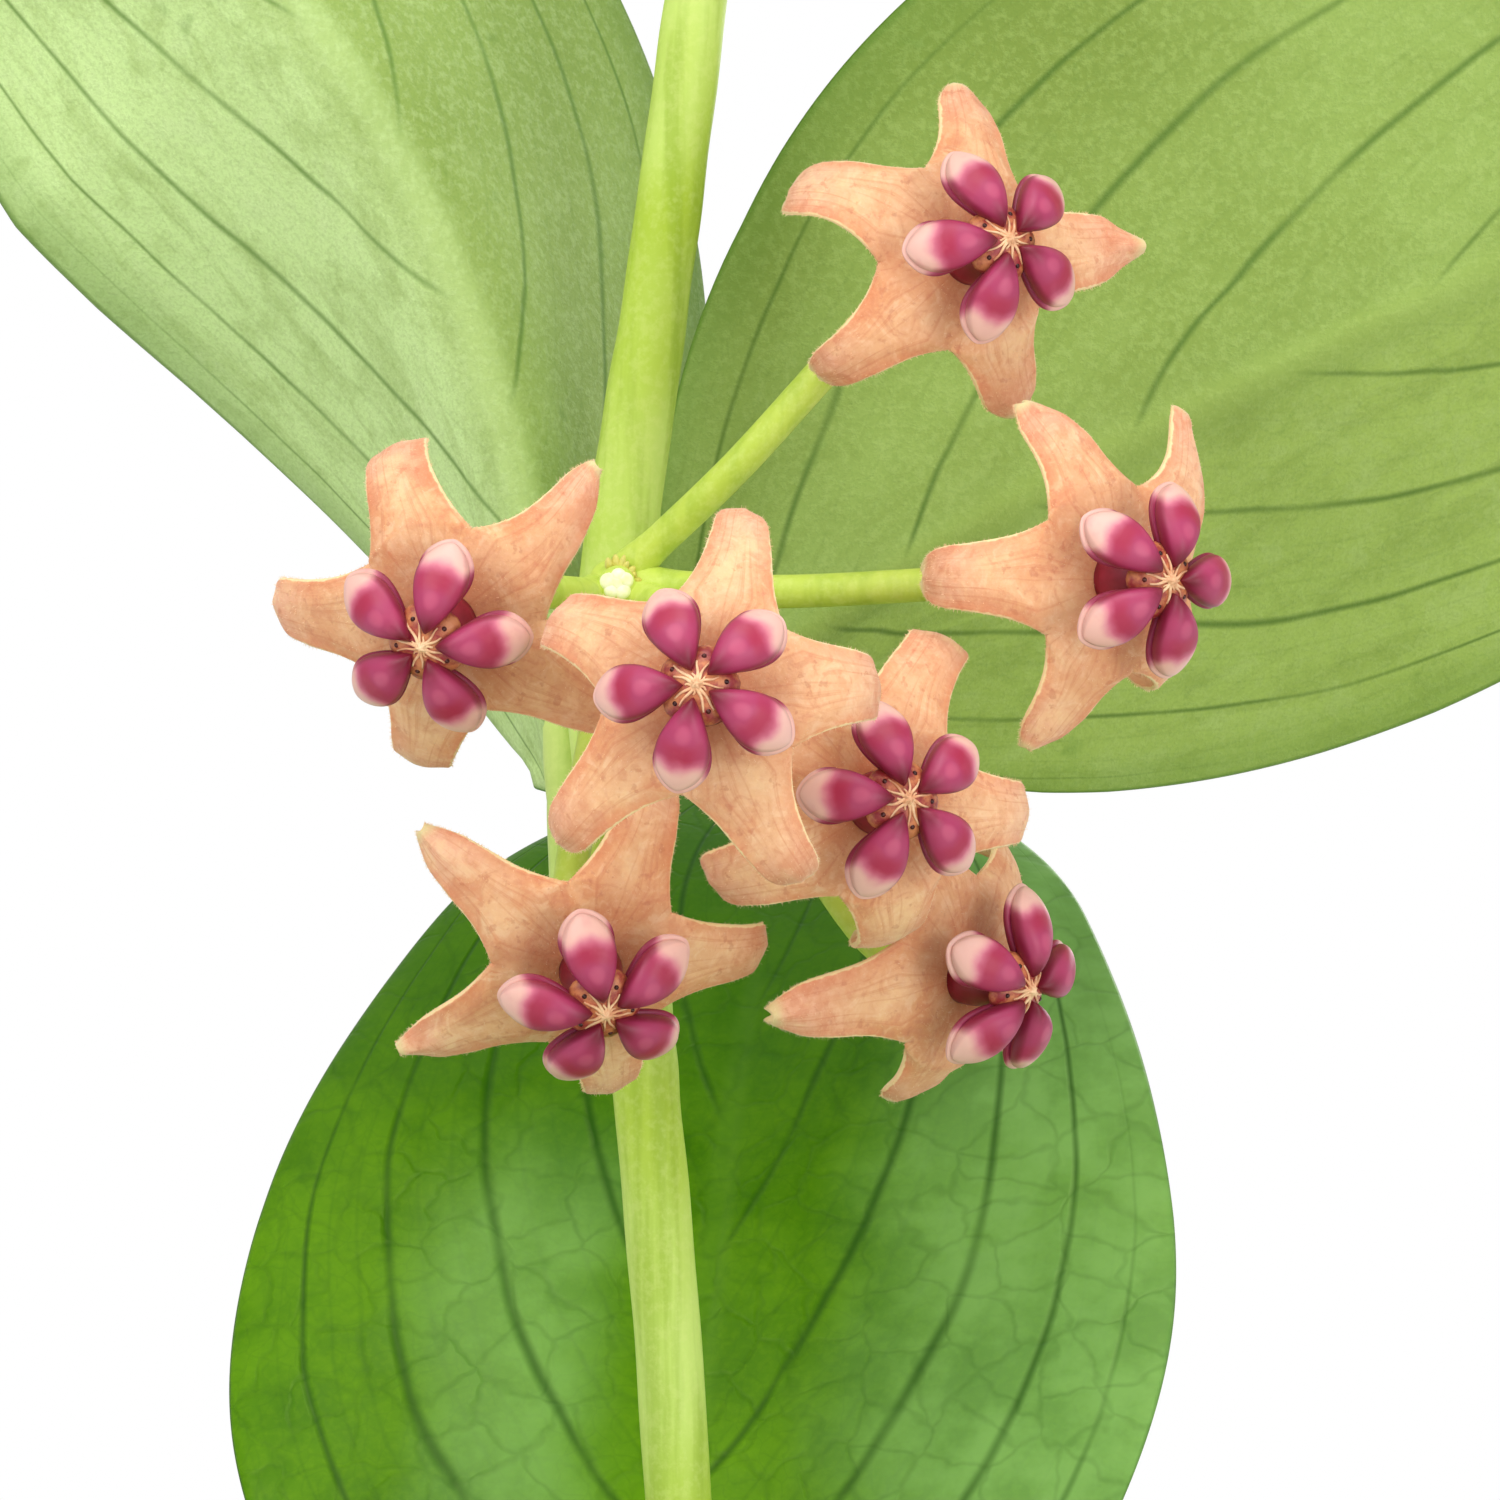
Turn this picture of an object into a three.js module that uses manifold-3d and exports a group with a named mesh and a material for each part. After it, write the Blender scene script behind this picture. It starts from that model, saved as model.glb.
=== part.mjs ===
// Potted wax plant: a clay pot of soil with three climbing vines, opposite pairs of
// leathery leaves, and one hanging umbel of seven star-shaped flowers.
// Millimetres, +Z up. The origin is the centre of the pot's underside.

import * as THREE from 'three';
import * as BufferGeometryUtils from 'three/addons/utils/BufferGeometryUtils.js';
import Module from 'manifold-3d';

const wasm = await Module();
wasm.setup();

// ---------------------------------------------------------------- driving dimensions

const GAP = 0.3; // clearance between neighbouring solids

const POT = {
  height: 92,
  baseRadius: 38,
  shoulderRadius: 50.5, // body just below the collar
  rimRadius: 55,
  collarHeight: 22,
  wall: 4,
  floor: 5,
  drainHoles: 3,
  drainRadius: 4.5,
  drainCircle: 18, // the holes' distance from the axis, so that the centre stays solid
  segments: 32,
};

const SOIL = { top: 82, bump: 1.6, segments: 24, stemHoleDepth: 12 };

const NODE_SWELLING = 0.3; // how much thicker a vine is at a joint
const NODE_REACH = 2.6; // how far the swelling reaches along the vine

// Control points of the vines: position, radius, and whether leaves grow there.
const MAIN_VINE = [
  { at: [3, 2, 71], radius: 2.1 },
  { at: [3, 2, 88], radius: 2.1 },
  { at: [1, 1, 118], radius: 2.0, joint: true },
  { at: [1, 0, 155], radius: 1.75, joint: true },
  { at: [0.4, 0, 184.5], radius: 1.65 },
  { at: [-1.1, 0, 204], radius: 1.7 },
  { at: [-2.0, 0, 212.3], radius: 1.75, joint: true },
  { at: [-3.2, 0, 223.5], radius: 1.85 },
  { at: [-2.6, 0, 231.5], radius: 1.85 },
  { at: [-0.7, 0, 244.5], radius: 1.7 },
  { at: [1.3, 0, 259.5], radius: 1.55 },
  { at: [2.6, 0, 270], radius: 1.5, joint: true },
  { at: [5, 0.5, 300], radius: 1.2, joint: true },
  { at: [5.6, 0.6, 309], radius: 0.7 },
];
const LEFT_VINE = [
  { at: [-22, 12, 71], radius: 1.9 },
  { at: [-22, 12, 88], radius: 1.9 },
  { at: [-27, 18, 108], radius: 1.8, joint: true },
  { at: [-39, 28, 130], radius: 1.6, joint: true },
  { at: [-52, 35, 147], radius: 1.3, joint: true },
  { at: [-57, 38, 156], radius: 0.8 },
];
const RIGHT_VINE = [
  { at: [20, -16, 71], radius: 1.9 },
  { at: [20, -16, 88], radius: 1.9 },
  { at: [27, -24, 104], radius: 1.8, joint: true },
  { at: [44, -38, 118], radius: 1.6 },
  { at: [58, -46, 118], radius: 1.5, joint: true },
  { at: [70, -51, 108], radius: 1.2, joint: true },
  { at: [74, -53, 101], radius: 0.8 },
];

const LEAF = {
  length: 84,
  halfWidth: 23,
  thickness: 1.1, // at the midrib
  marginThickness: 0.7,
  ribDepth: 0.5, // how far the midrib stands out of the underside
  petioleRadius: 1.15,
  petioleLength: 9,
  wave: 0.5,
  fullFoldWidth: 4, // a blade narrower than this to each side is flatter than its fold
  leftShare: 1, // width of the left half as a share of the right half's
};

// Leaves of the flowering joint and the one below it. A heading is the compass angle of
// the midrib, in degrees from +X towards +Y. A lean is its angle from the vertical, from
// base to tip. A fold lifts each half of the blade towards its upper face.
const PHOTO_LEAVES = [
  {
    name: 'leaf_right_upper',
    petiole: [[-1.5, 3.3, 211.8], [-1.5, 3.9, 215.5], [-0.7, 3.9, 220], [0.7, 3.9, 223.2]],
    length: 92,
    halfWidth: 24.8,
    heading: 3,
    lean: [51, 61, 64.5, 64.5, 65, 68, 72],
    twist: -90,
    foldLeft: [30, 14, 2, 0, 0, 4],
    foldRight: [46, 40, 37, 36, 34, 32],
    leftShare: 1.08,
    across: 6,
    along: 14,
  },
  {
    name: 'leaf_left_upper',
    petiole: [[-4.5, 2.0, 212.0], [-4.95, 2.6, 215.2], [-4.95, 2.6, 219.5]],
    length: 88,
    halfWidth: 22,
    heading: 178,
    lean: [8, 13, 23, 35, 40, 47, 54, 58],
    twist: 90,
    foldLeft: [64, 60, 46, 31, 27, 26, 26],
    foldRight: [62, 61, 56, 50, 44, 39, 34],
    across: 6,
    along: 14,
  },
  {
    name: 'leaf_back_middle',
    petiole: [[0.95, 2.6, 154.6], [0.4, 5.2, 156.2], [0.0, 6.6, 159.5], [-0.6, 7.4, 162.4]],
    length: 76.5,
    halfWidth: 25.4,
    heading: 80,
    lean: [16, 24, 31, 35, 40, 48, 60, 68],
    twist: 0,
    foldLeft: [24, 12, 8, 8, 8],
    foldRight: [24, 12, 8, 8, 8],
    across: 6,
    along: 14,
  },
];

// The other leaves: the vine's joint they grow from, their size and how they arch over.
const PLAIN_LEAVES = [
  { name: 'leaf_front_middle', vine: MAIN_VINE, joint: 3, heading: -96, size: 0.95, lean: [62, 78, 100, 112] },
  { name: 'leaf_left_lower', vine: MAIN_VINE, joint: 2, heading: 205, size: 1.0, lean: [52, 68, 88, 104] },
  { name: 'leaf_right_lower', vine: MAIN_VINE, joint: 2, heading: 22, size: 1.02, lean: [48, 66, 84, 100] },
  { name: 'leaf_front_top', vine: MAIN_VINE, joint: 11, heading: -88, size: 0.66, lean: [30, 42, 58, 72] },
  { name: 'leaf_back_top', vine: MAIN_VINE, joint: 11, heading: 84, size: 0.7, lean: [26, 40, 56, 70] },
  { name: 'leaf_left_young', vine: MAIN_VINE, joint: 12, heading: 180, size: 0.32, lean: [24, 30, 40, 52] },
  { name: 'leaf_right_young', vine: MAIN_VINE, joint: 12, heading: 8, size: 0.34, lean: [30, 34, 46, 58] },
  { name: 'left_vine_leaf_1', vine: LEFT_VINE, joint: 2, heading: 215, size: 0.86, lean: [60, 80, 98, 108] },
  { name: 'left_vine_leaf_2', vine: LEFT_VINE, joint: 2, heading: 48, size: 0.84, lean: [50, 66, 84, 98] },
  { name: 'left_vine_leaf_3', vine: LEFT_VINE, joint: 3, heading: 160, size: 0.8, lean: [56, 70, 90, 104] },
  { name: 'left_vine_leaf_4', vine: LEFT_VINE, joint: 3, heading: 88, size: 0.78, lean: [44, 60, 82, 98] },
  { name: 'left_vine_leaf_5', vine: LEFT_VINE, joint: 4, heading: 230, size: 0.5, lean: [36, 50, 66, 78] },
  { name: 'left_vine_leaf_6', vine: LEFT_VINE, joint: 4, heading: 60, size: 0.46, lean: [34, 46, 60, 76] },
  { name: 'right_vine_leaf_1', vine: RIGHT_VINE, joint: 2, heading: 2, size: 0.8, lean: [70, 80, 94, 108] },
  { name: 'right_vine_leaf_2', vine: RIGHT_VINE, joint: 2, heading: 245, size: 0.84, lean: [52, 72, 92, 106] },
  { name: 'right_vine_leaf_3', vine: RIGHT_VINE, joint: 4, heading: 32, size: 0.7, lean: [50, 66, 84, 98] },
  { name: 'right_vine_leaf_4', vine: RIGHT_VINE, joint: 4, heading: 262, size: 0.66, lean: [62, 80, 98, 108] },
  { name: 'right_vine_leaf_5', vine: RIGHT_VINE, joint: 5, heading: 10, size: 0.42, lean: [60, 74, 92, 104] },
];

// The umbel's stalk leaves the flowering joint at the front and ends in a knob.
const PEDUNCLE = [[-2.7, -3.1, 213.4], [-3.2, -5.2, 218], [-2.9, -7.6, 223.6], [-2.6, -8.6, 228.6]];
const PEDUNCLE_RADIUS = 1.3;
const KNOB = { at: [-2.6, -8.8, 229.4], radius: 1.9, height: 2.3 };
const PEDICEL = { radius: 0.82, length: 25 };

const COROLLA = {
  discRadius: 4.6, // where two neighbouring lobes part
  thickness: 0.8,
  rollBack: 0.35, // how far the margins curl down
  // Stations of a lobe from the disc's edge to its tip: radius, height over the disc and
  // half width. A lobe may be hooked back at its end, held out or folded under.
  hooked: [[4.6, -0.3, 2.7], [6.05, -0.8, 1.9], [7.4, -1.5, 1.58], [8.25, -2.4, 1.5],
    [8.5, -3.3, 1.32], [8.45, -4.1, 0.95], [8.3, -4.7, 0.35]],
  held: [[4.6, -0.3, 2.7], [6.2, -0.85, 1.9], [7.6, -1.35, 1.6], [8.7, -1.8, 1.35],
    [9.4, -2.2, 0.95], [9.9, -2.5, 0.6], [10.2, -2.75, 0.25]],
  folded: [[4.6, -0.3, 2.7], [5.7, -1.0, 2.0], [6.5, -2.1, 1.65], [6.8, -3.2, 1.45],
    [6.75, -4.2, 1.15], [6.55, -5.0, 0.75], [6.3, -5.6, 0.3]],
  leanReach: 4.4, // distance beyond the disc at which a lobe has its whole sideways lean
  tipHalf: 0.25, // least half width at a lobe's tip
};
const CORONA = {
  lobeLength: 4.1,
  lobeWidth: 2.6,
  lobeHeight: 1.9,
  lobeReach: 2.7, // distance of a lobe's middle from the flower's axis
  lobeRise: 3.75, // height of a lobe's middle over the disc
  lobeSlope: 19, // degrees by which a lobe's outer end is lower
  columnRadius: 1.7,
  columnHeight: 4.4,
};

// Flowers: centre of the disc, the direction each one faces (degrees to the right of
// straight ahead and degrees up), and the turn of its first lobe. Then for each lobe:
// spread is how far it is held out (0 hooked back, below 0 folded under), reach its share
// of the usual length, taper how much it narrows towards its tip, and lean how far its tip
// leans sideways. Root and bow move the start and the bend of a flower's pedicel.
const FLOWERS = [
  { at: [14.3, -15.5, 245.6], right: 27, up: 7, roll: 77,
    spread: [1, -0.25, -0.25, 1, 1.5], reach: [0.8, 0.9, 0.9, 0.6, 1],
    taper: [-0.1, 0, 0.4, -0.2, -0.4], lean: [0.3, 1, 0, 1.2, 0.3] },
  { at: [21.2, -18.7, 230.1], right: 35, up: -2, roll: 180,
    spread: [-0.6, 1, -1, 1, 1], reach: [1, 0.68, 1, 0.86, 0.76],
    taper: [0, 0.2, 0, -0.4, 0], lean: [0, 0, 0, 2.8, 1.1] },
  { at: [2, -34, 224.5], right: -5, up: 6, roll: 77, root: [0.9, -0.7, -1.7], bow: -1.6,
    spread: [0.3, -0.3, 0.5, 0.3, -0.8], reach: [1, 1, 1, 1, 1],
    taper: [0.3, 0.1, 0.2, 0.2, 0], lean: [0.9, 0.9, 0, 0.5, 0] },
  { at: [-10, -24.5, 228], right: -15, up: -17, roll: 180, root: [-1, -0.8, 0.1], bow: -3.2,
    spread: [0.55, -0.2, 0.5, 0.8, -0.4], reach: [1, 1, 1, 0.88, 1],
    taper: [0, 0.1, 0, 0.45, -0.15], lean: [0, -0.9, 0, 1.1, 0.9] },
  { at: [-3.6, -20.8, 211.9], right: 14, up: -30, roll: 0,
    spread: [0.4, 0.3, 0.9, 1.1, 0.4], reach: [1, 1, 1, 1, 1],
    taper: [0.15, 0, 0.3, 0.25, 0.2], lean: [-0.6, 0, 0, 0.5, 0] },
  { at: [9.8, -22.9, 219.5], right: 20, up: 3, roll: -4,
    spread: [0.3, 0.1, 0.3, -0.7, -1], reach: [1, 1.1, 1, 1, 0.85],
    taper: [0, -0.15, 0, 0, 0], lean: [0.5, -1.6, 0, -1.4, 0] },
  { at: [14.1, -14.5, 211.4], right: 49, up: -11, roll: 193,
    spread: [1.1, 1, 0.2, -0.5, 0.2], reach: [1.08, 0.38, 1, 1, 1],
    taper: [0, 0, 0, 0, 0], lean: [0, 0.9, 0, 0, 0] },
];

// ---------------------------------------------------------------- materials

function material(color, roughness) {
  return new THREE.MeshStandardMaterial({ color, roughness, metalness: 0, side: THREE.FrontSide });
}

const MATERIALS = {
  pot: () => material(0xb5694a, 0.85),
  soil: () => material(0x3d2c20, 0.95),
  vine: () => material(0xbfd562, 0.5),
  leaf: () => material(0x4f8416, 0.35),
  youngLeaf: () => material(0x8f8f3c, 0.4),
  stalk: () => material(0xb9d04f, 0.5),
  corolla: () => material(0xf2c290, 0.7),
  corona: () => material(0xc74560, 0.2),
};

// ---------------------------------------------------------------- geometry helpers

const vector = ([x, y, z]) => new THREE.Vector3(x, y, z);

// Value at t (0 to 1) of a list of evenly spaced values, joined by straight lines.
function ramp(values, t) {
  const place = THREE.MathUtils.clamp(t, 0, 1) * (values.length - 1);
  const index = Math.min(Math.floor(place), values.length - 2);
  return THREE.MathUtils.lerp(values[index], values[index + 1], place - index);
}

function volumeOf(positions, index) {
  let volume = 0;
  for (let i = 0; i < index.length; i += 3) {
    const [a, b, c] = [positions[index[i]], positions[index[i + 1]], positions[index[i + 2]]];
    volume += a.dot(b.clone().cross(c)) / 6;
  }
  return volume;
}

// A closed body from points and triangles, with its faces turned outwards.
function closedBody(points, triangles) {
  const index = triangles.flat();
  if (volumeOf(points, index) < 0) {
    index.reverse();
  }
  const geometry = new THREE.BufferGeometry().setFromPoints(points);
  geometry.setIndex(index);
  geometry.computeVertexNormals();
  return geometry;
}

// A skin over a row of rings with equal numbers of points, closed by a fan at each end.
function loft(rings) {
  const sides = rings[0].length;
  const points = rings.flat();
  const triangles = [];
  for (let row = 0; row < rings.length - 1; row += 1) {
    for (let side = 0; side < sides; side += 1) {
      const next = (side + 1) % sides;
      const [a, b] = [row * sides + side, row * sides + next];
      const [c, d] = [a + sides, b + sides];
      const lowerHalf = side >= sides / 2;
      triangles.push(...(lowerHalf ? [[a, b, c], [b, d, c]] : [[a, b, d], [a, d, c]]));
    }
  }
  for (const row of [0, rings.length - 1]) {
    const centre = points.length;
    const middle = new THREE.Vector3();
    rings[row].forEach((point) => middle.addScaledVector(point, 1 / sides));
    points.push(middle);
    for (let side = 0; side < sides; side += 1) {
      const [a, b] = [row * sides + side, row * sides + ((side + 1) % sides)];
      triangles.push(row === 0 ? [centre, b, a] : [centre, a, b]);
    }
  }
  return closedBody(points, triangles);
}

// Points and tangents of a curve at the given parameters, with a side direction that is
// carried along without twisting.
function carriedFrames(curve, stations, firstSide) {
  let side = firstSide.clone();
  return stations.map((t) => {
    const tangent = curve.getTangent(t);
    side = side.clone().addScaledVector(tangent, -side.dot(tangent)).normalize();
    return { point: curve.getPoint(t), tangent, side, up: tangent.clone().cross(side) };
  });
}

function roundRing(frame, radius, sides) {
  return Array.from({ length: sides }, (_, i) => {
    const angle = (2 * Math.PI * (i + 0.5)) / sides;
    return frame.point.clone()
      .addScaledVector(frame.side, radius * Math.cos(angle))
      .addScaledVector(frame.up, radius * Math.sin(angle));
  });
}

function tube(curve, stations, radiusAt, sides) {
  const sideways = new THREE.Vector3(1, 0, 0);
  const frames = carriedFrames(curve, stations, sideways);
  return loft(frames.map((frame, i) => roundRing(frame, radiusAt(stations[i]), sides)));
}

const evenly = (count) => Array.from({ length: count + 1 }, (_, i) => i / count);

// Booleans work on bodies whose shared corners are merged.
function toSolid(geometry) {
  const plain = geometry.clone();
  plain.deleteAttribute('normal');
  plain.deleteAttribute('uv');
  const merged = BufferGeometryUtils.mergeVertices(plain, 1e-4);
  const mesh = new wasm.Mesh({
    numProp: 3,
    vertProperties: new Float32Array(merged.attributes.position.array),
    triVerts: new Uint32Array(merged.index.array),
  });
  return new wasm.Manifold(mesh);
}

function fromSolid(solid) {
  const mesh = solid.getMesh();
  const geometry = new THREE.BufferGeometry();
  geometry.setAttribute('position', new THREE.BufferAttribute(mesh.vertProperties, 3));
  geometry.setIndex(new THREE.BufferAttribute(mesh.triVerts, 1));
  geometry.computeVertexNormals();
  return geometry;
}

function joined(geometries) {
  return fromSolid(geometries.map(toSolid).reduce((sum, solid) => sum.add(solid)));
}

function uprightCylinder(radius, low, high, x, y, segments) {
  const cylinder = new THREE.CylinderGeometry(radius, radius, high - low, segments);
  cylinder.rotateX(Math.PI / 2);
  cylinder.translate(x, y, (low + high) / 2);
  return cylinder;
}

// A profile of [radius, height] points turned about the Z axis.
function turned(profile, segments) {
  const geometry = new THREE.LatheGeometry(profile.map(([r, z]) => new THREE.Vector2(r, z)), segments);
  geometry.rotateX(Math.PI / 2);
  return geometry;
}

// ---------------------------------------------------------------- pot and soil

const innerRadiusAt = (z) => {
  const shoulder = POT.height - POT.collarHeight;
  const base = POT.baseRadius - POT.wall;
  const slope = (POT.shoulderRadius - POT.baseRadius) / shoulder;
  return base + slope * z;
};

function makePot() {
  const shoulder = POT.height - POT.collarHeight;
  const inner = innerRadiusAt(POT.height);
  const profile = [
    [0, 0],
    [POT.baseRadius - 1.2, 0],
    [POT.baseRadius, 1.2],
    [POT.shoulderRadius, shoulder],
    [POT.rimRadius - 1.4, shoulder],
    [POT.rimRadius - 0.6, shoulder + 1],
    [POT.rimRadius, POT.height - 2.5],
    [POT.rimRadius - 1, POT.height - 0.4],
    [POT.rimRadius - 1.8, POT.height],
    [inner + 1.2, POT.height],
    [inner + 0.2, POT.height - 0.8],
    [innerRadiusAt(POT.height - 3), POT.height - 3],
    [innerRadiusAt(POT.floor), POT.floor],
    [0, POT.floor],
  ];
  let solid = toSolid(turned(profile, POT.segments));
  for (let i = 0; i < POT.drainHoles; i += 1) {
    const angle = (2 * Math.PI * (i + 0.5)) / POT.drainHoles;
    const [x, y] = [POT.drainCircle * Math.cos(angle), POT.drainCircle * Math.sin(angle)];
    solid = solid.subtract(toSolid(uprightCylinder(POT.drainRadius, -1, POT.floor + 1, x, y, 12)));
  }
  return fromSolid(solid);
}

// The soil's surface: low mounds that come from a few crossing waves.
function soilHeight(x, y) {
  const waves = Math.sin(0.21 * x + 0.6) * Math.cos(0.19 * y) + 0.5 * Math.sin(0.33 * y - 0.27 * x);
  return SOIL.top + SOIL.bump * waves;
}

function makeSoil() {
  const side = [POT.floor + GAP + 0.1, POT.height - POT.collarHeight, SOIL.top];
  const profile = [[0, side[0]]];
  side.forEach((z) => profile.push([innerRadiusAt(z) - GAP - 0.2, z]));
  [0.9, 0.72, 0.52, 0.34, 0.17, 0].forEach((part) => profile.push([part * innerRadiusAt(SOIL.top), SOIL.top]));
  const geometry = turned(profile, SOIL.segments);
  const position = geometry.attributes.position;
  for (let i = 0; i < position.count; i += 1) {
    const [x, y, z] = [position.getX(i), position.getY(i), position.getZ(i)];
    if (z > SOIL.top - 0.01 && Math.hypot(x, y) < innerRadiusAt(SOIL.top) - 2) {
      position.setZ(i, soilHeight(x, y));
    }
  }
  let solid = toSolid(geometry);
  for (const vine of [MAIN_VINE, LEFT_VINE, RIGHT_VINE]) {
    const [x, y, foot] = vine[0].at;
    const radius = vine[0].radius + 2 * GAP;
    const top = SOIL.top + SOIL.stemHoleDepth;
    solid = solid.subtract(toSolid(uprightCylinder(radius, foot - GAP, top, x, y, 12)));
  }
  return fromSolid(solid);
}

// ---------------------------------------------------------------- vines

function makeVine(points) {
  const curve = new THREE.CatmullRomCurve3(points.map((p) => vector(p.at)), false, 'centripetal');
  const spans = points.length - 1;
  const stations = [];
  for (let i = 0; i < spans; i += 1) {
    const length = vector(points[i].at).distanceTo(vector(points[i + 1].at));
    const reach = NODE_REACH / length;
    const parts = Math.max(2, Math.round(length / 11));
    const steps = new Set(evenly(parts).slice(0, -1));
    if (points[i].joint) {
      steps.add(reach);
    }
    if (points[i + 1].joint) {
      steps.add(1 - reach);
    }
    stations.push(...[...steps].sort((a, b) => a - b).map((f) => (i + f) / spans));
  }
  stations.push(1);
  const radiusAt = (t) => {
    const plain = ramp(points.map((p) => p.radius), t);
    const place = t * spans;
    const nearest = points[Math.round(place)];
    const swollen = nearest.joint && Math.abs(place - Math.round(place)) < 1e-6;
    const end = t === 0 || t === 1 ? 0.7 : 1;
    return plain * end * (swollen ? 1 + NODE_SWELLING : 1);
  };
  return tube(curve, stations, radiusAt, 8);
}

// ---------------------------------------------------------------- leaves

// Half width of a blade along its length: broad and rounded below, drawn out to a tip.
function halfWidthAt(t, widest) {
  const swell = Math.sin(Math.PI * Math.pow(t, 0.78));
  const tip = THREE.MathUtils.clamp((t - 0.78) / 0.22, 0, 1);
  return Math.max(0.45, widest * Math.pow(Math.max(swell, 0), 0.92 - 0.5 * t) * (1 - 0.45 * tip * tip));
}

function midribDirection(heading, lean, twist) {
  const h = THREE.MathUtils.degToRad(heading);
  const a = THREE.MathUtils.degToRad(lean);
  const w = THREE.MathUtils.degToRad(twist);
  const along = new THREE.Vector3(Math.sin(a) * Math.cos(h), Math.sin(a) * Math.sin(h), Math.cos(a));
  const level = new THREE.Vector3(-Math.sin(h), Math.cos(h), 0);
  const upper = along.clone().cross(level);
  const across = level.clone().multiplyScalar(Math.cos(w)).addScaledVector(upper, Math.sin(w));
  return { along, across, upper: along.clone().cross(across) };
}

// One leaf: rings of the round petiole run into rings of the flat blade.
function makeLeaf(leaf) {
  const across = leaf.across;
  const rings = [];
  const first = midribDirection(leaf.heading, leaf.lean[0], leaf.twist);
  const petiole = new THREE.CatmullRomCurve3(leaf.petiole.map(vector), false, 'centripetal');
  const stations = evenly(leaf.petiole.length + 1).slice(0, -1);
  const frames = stations.map((t) => {
    const tangent = petiole.getTangent(t);
    const side = first.across.clone().addScaledVector(tangent, -first.across.dot(tangent)).normalize();
    return { point: petiole.getPoint(t), side, up: tangent.clone().cross(side) };
  });
  const petioleAngle = (j) => Math.PI * (1 - (j + 0.5) / (across + 1));
  for (const frame of frames) {
    const ring = [];
    for (const half of [1, -1]) {
      for (let k = 0; k <= across; k += 1) {
        const angle = half * petioleAngle(half > 0 ? k : across - k);
        ring.push(frame.point.clone()
          .addScaledVector(frame.side, leaf.petioleRadius * Math.cos(angle))
          .addScaledVector(frame.up, leaf.petioleRadius * Math.sin(angle)));
      }
    }
    rings.push(ring);
  }

  let middle = vector(leaf.petiole[leaf.petiole.length - 1]);
  const step = 1 / leaf.along;
  for (let row = 0; row <= leaf.along; row += 1) {
    const t = row * step;
    const { along, across: sideways, upper } = midribDirection(leaf.heading, ramp(leaf.lean, t), leaf.twist);
    const half = halfWidthAt(t, leaf.halfWidth);
    const opening = Math.min(1, half / leaf.fullFoldWidth);
    const foldOf = (list) => THREE.MathUtils.degToRad(ramp(list, t) * opening);
    const mitre = Math.cos((foldOf(leaf.foldLeft) + foldOf(leaf.foldRight)) / 2);
    const [upperRow, lowerRow] = [[], []];
    for (let j = 0; j <= across; j += 1) {
      const u = (2 * j) / across - 1;
      const fold = foldOf(u < 0 ? leaf.foldLeft : leaf.foldRight);
      const reach = half * (u < 0 ? leaf.leftShare : 1);
      const out = reach * u;
      const rise = reach * Math.abs(u);
      const wave = leaf.wave * u * u * Math.sin(7 * t * Math.PI + (u > 0 ? 1.3 : 0)) * Math.sin(Math.PI * t);
      const point = middle.clone()
        .addScaledVector(sideways, out * Math.cos(fold))
        .addScaledVector(upper, rise * Math.sin(fold) - 0.06 * half * u ** 4 + wave);
      const normal = u === 0 ? upper : upper.clone().multiplyScalar(Math.cos(fold))
        .addScaledVector(sideways, -Math.sign(u) * Math.sin(fold));
      const flat = THREE.MathUtils.lerp(leaf.thickness, leaf.marginThickness, Math.abs(u));
      const thick = u === 0 ? flat / mitre : flat;
      const rib = u === 0 ? leaf.ribDepth * (1 - t) : 0;
      upperRow.push(point.clone().addScaledVector(normal, thick / 2));
      lowerRow.push(point.clone().addScaledVector(normal, -thick / 2 - rib));
    }
    rings.push([...upperRow, ...lowerRow.reverse()]);
    middle = middle.clone().addScaledVector(along, leaf.length * step);
  }
  return loft(rings);
}

// A leaf of ordinary shape, scaled, whose petiole leaves a joint of a vine sideways.
function plainLeaf({ name, vine, joint, heading, size, lean }) {
  const h = THREE.MathUtils.degToRad(heading);
  const outwards = new THREE.Vector3(Math.cos(h), Math.sin(h), 0);
  const stem = vine[joint];
  const before = vector(vine[joint - 1].at);
  const after = vector(vine[Math.min(joint + 1, vine.length - 1)].at);
  const run = after.sub(before).normalize();
  const away = outwards.clone().addScaledVector(run, -outwards.dot(run)).normalize();
  const start = vector(stem.at).addScaledVector(away, stem.radius * (1 + NODE_SWELLING) + GAP + 0.05);
  const reach = LEAF.petioleLength * Math.max(size, 0.5);
  const { along } = midribDirection(heading, lean[0], 0);
  const elbow = start.clone().addScaledVector(away, reach * 0.35);
  const end = elbow.clone().addScaledVector(along, reach * 0.65);
  const young = size < 0.4;
  return {
    name,
    petiole: [start, elbow, end].map((p) => p.toArray()),
    length: LEAF.length * size,
    halfWidth: LEAF.halfWidth * size * (young ? 0.8 : 1),
    heading,
    lean,
    twist: 0,
    foldLeft: young ? [40, 30, 26] : [26, 14, 12, 14],
    foldRight: young ? [40, 30, 26] : [26, 14, 12, 14],
    across: 4,
    along: young ? 6 : 10,
    petioleRadius: LEAF.petioleRadius * Math.max(Math.sqrt(size), 0.62),
    thickness: LEAF.thickness * (young ? 0.8 : 1),
    wave: LEAF.wave * size,
    young,
  };
}

// ---------------------------------------------------------------- flowers

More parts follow.
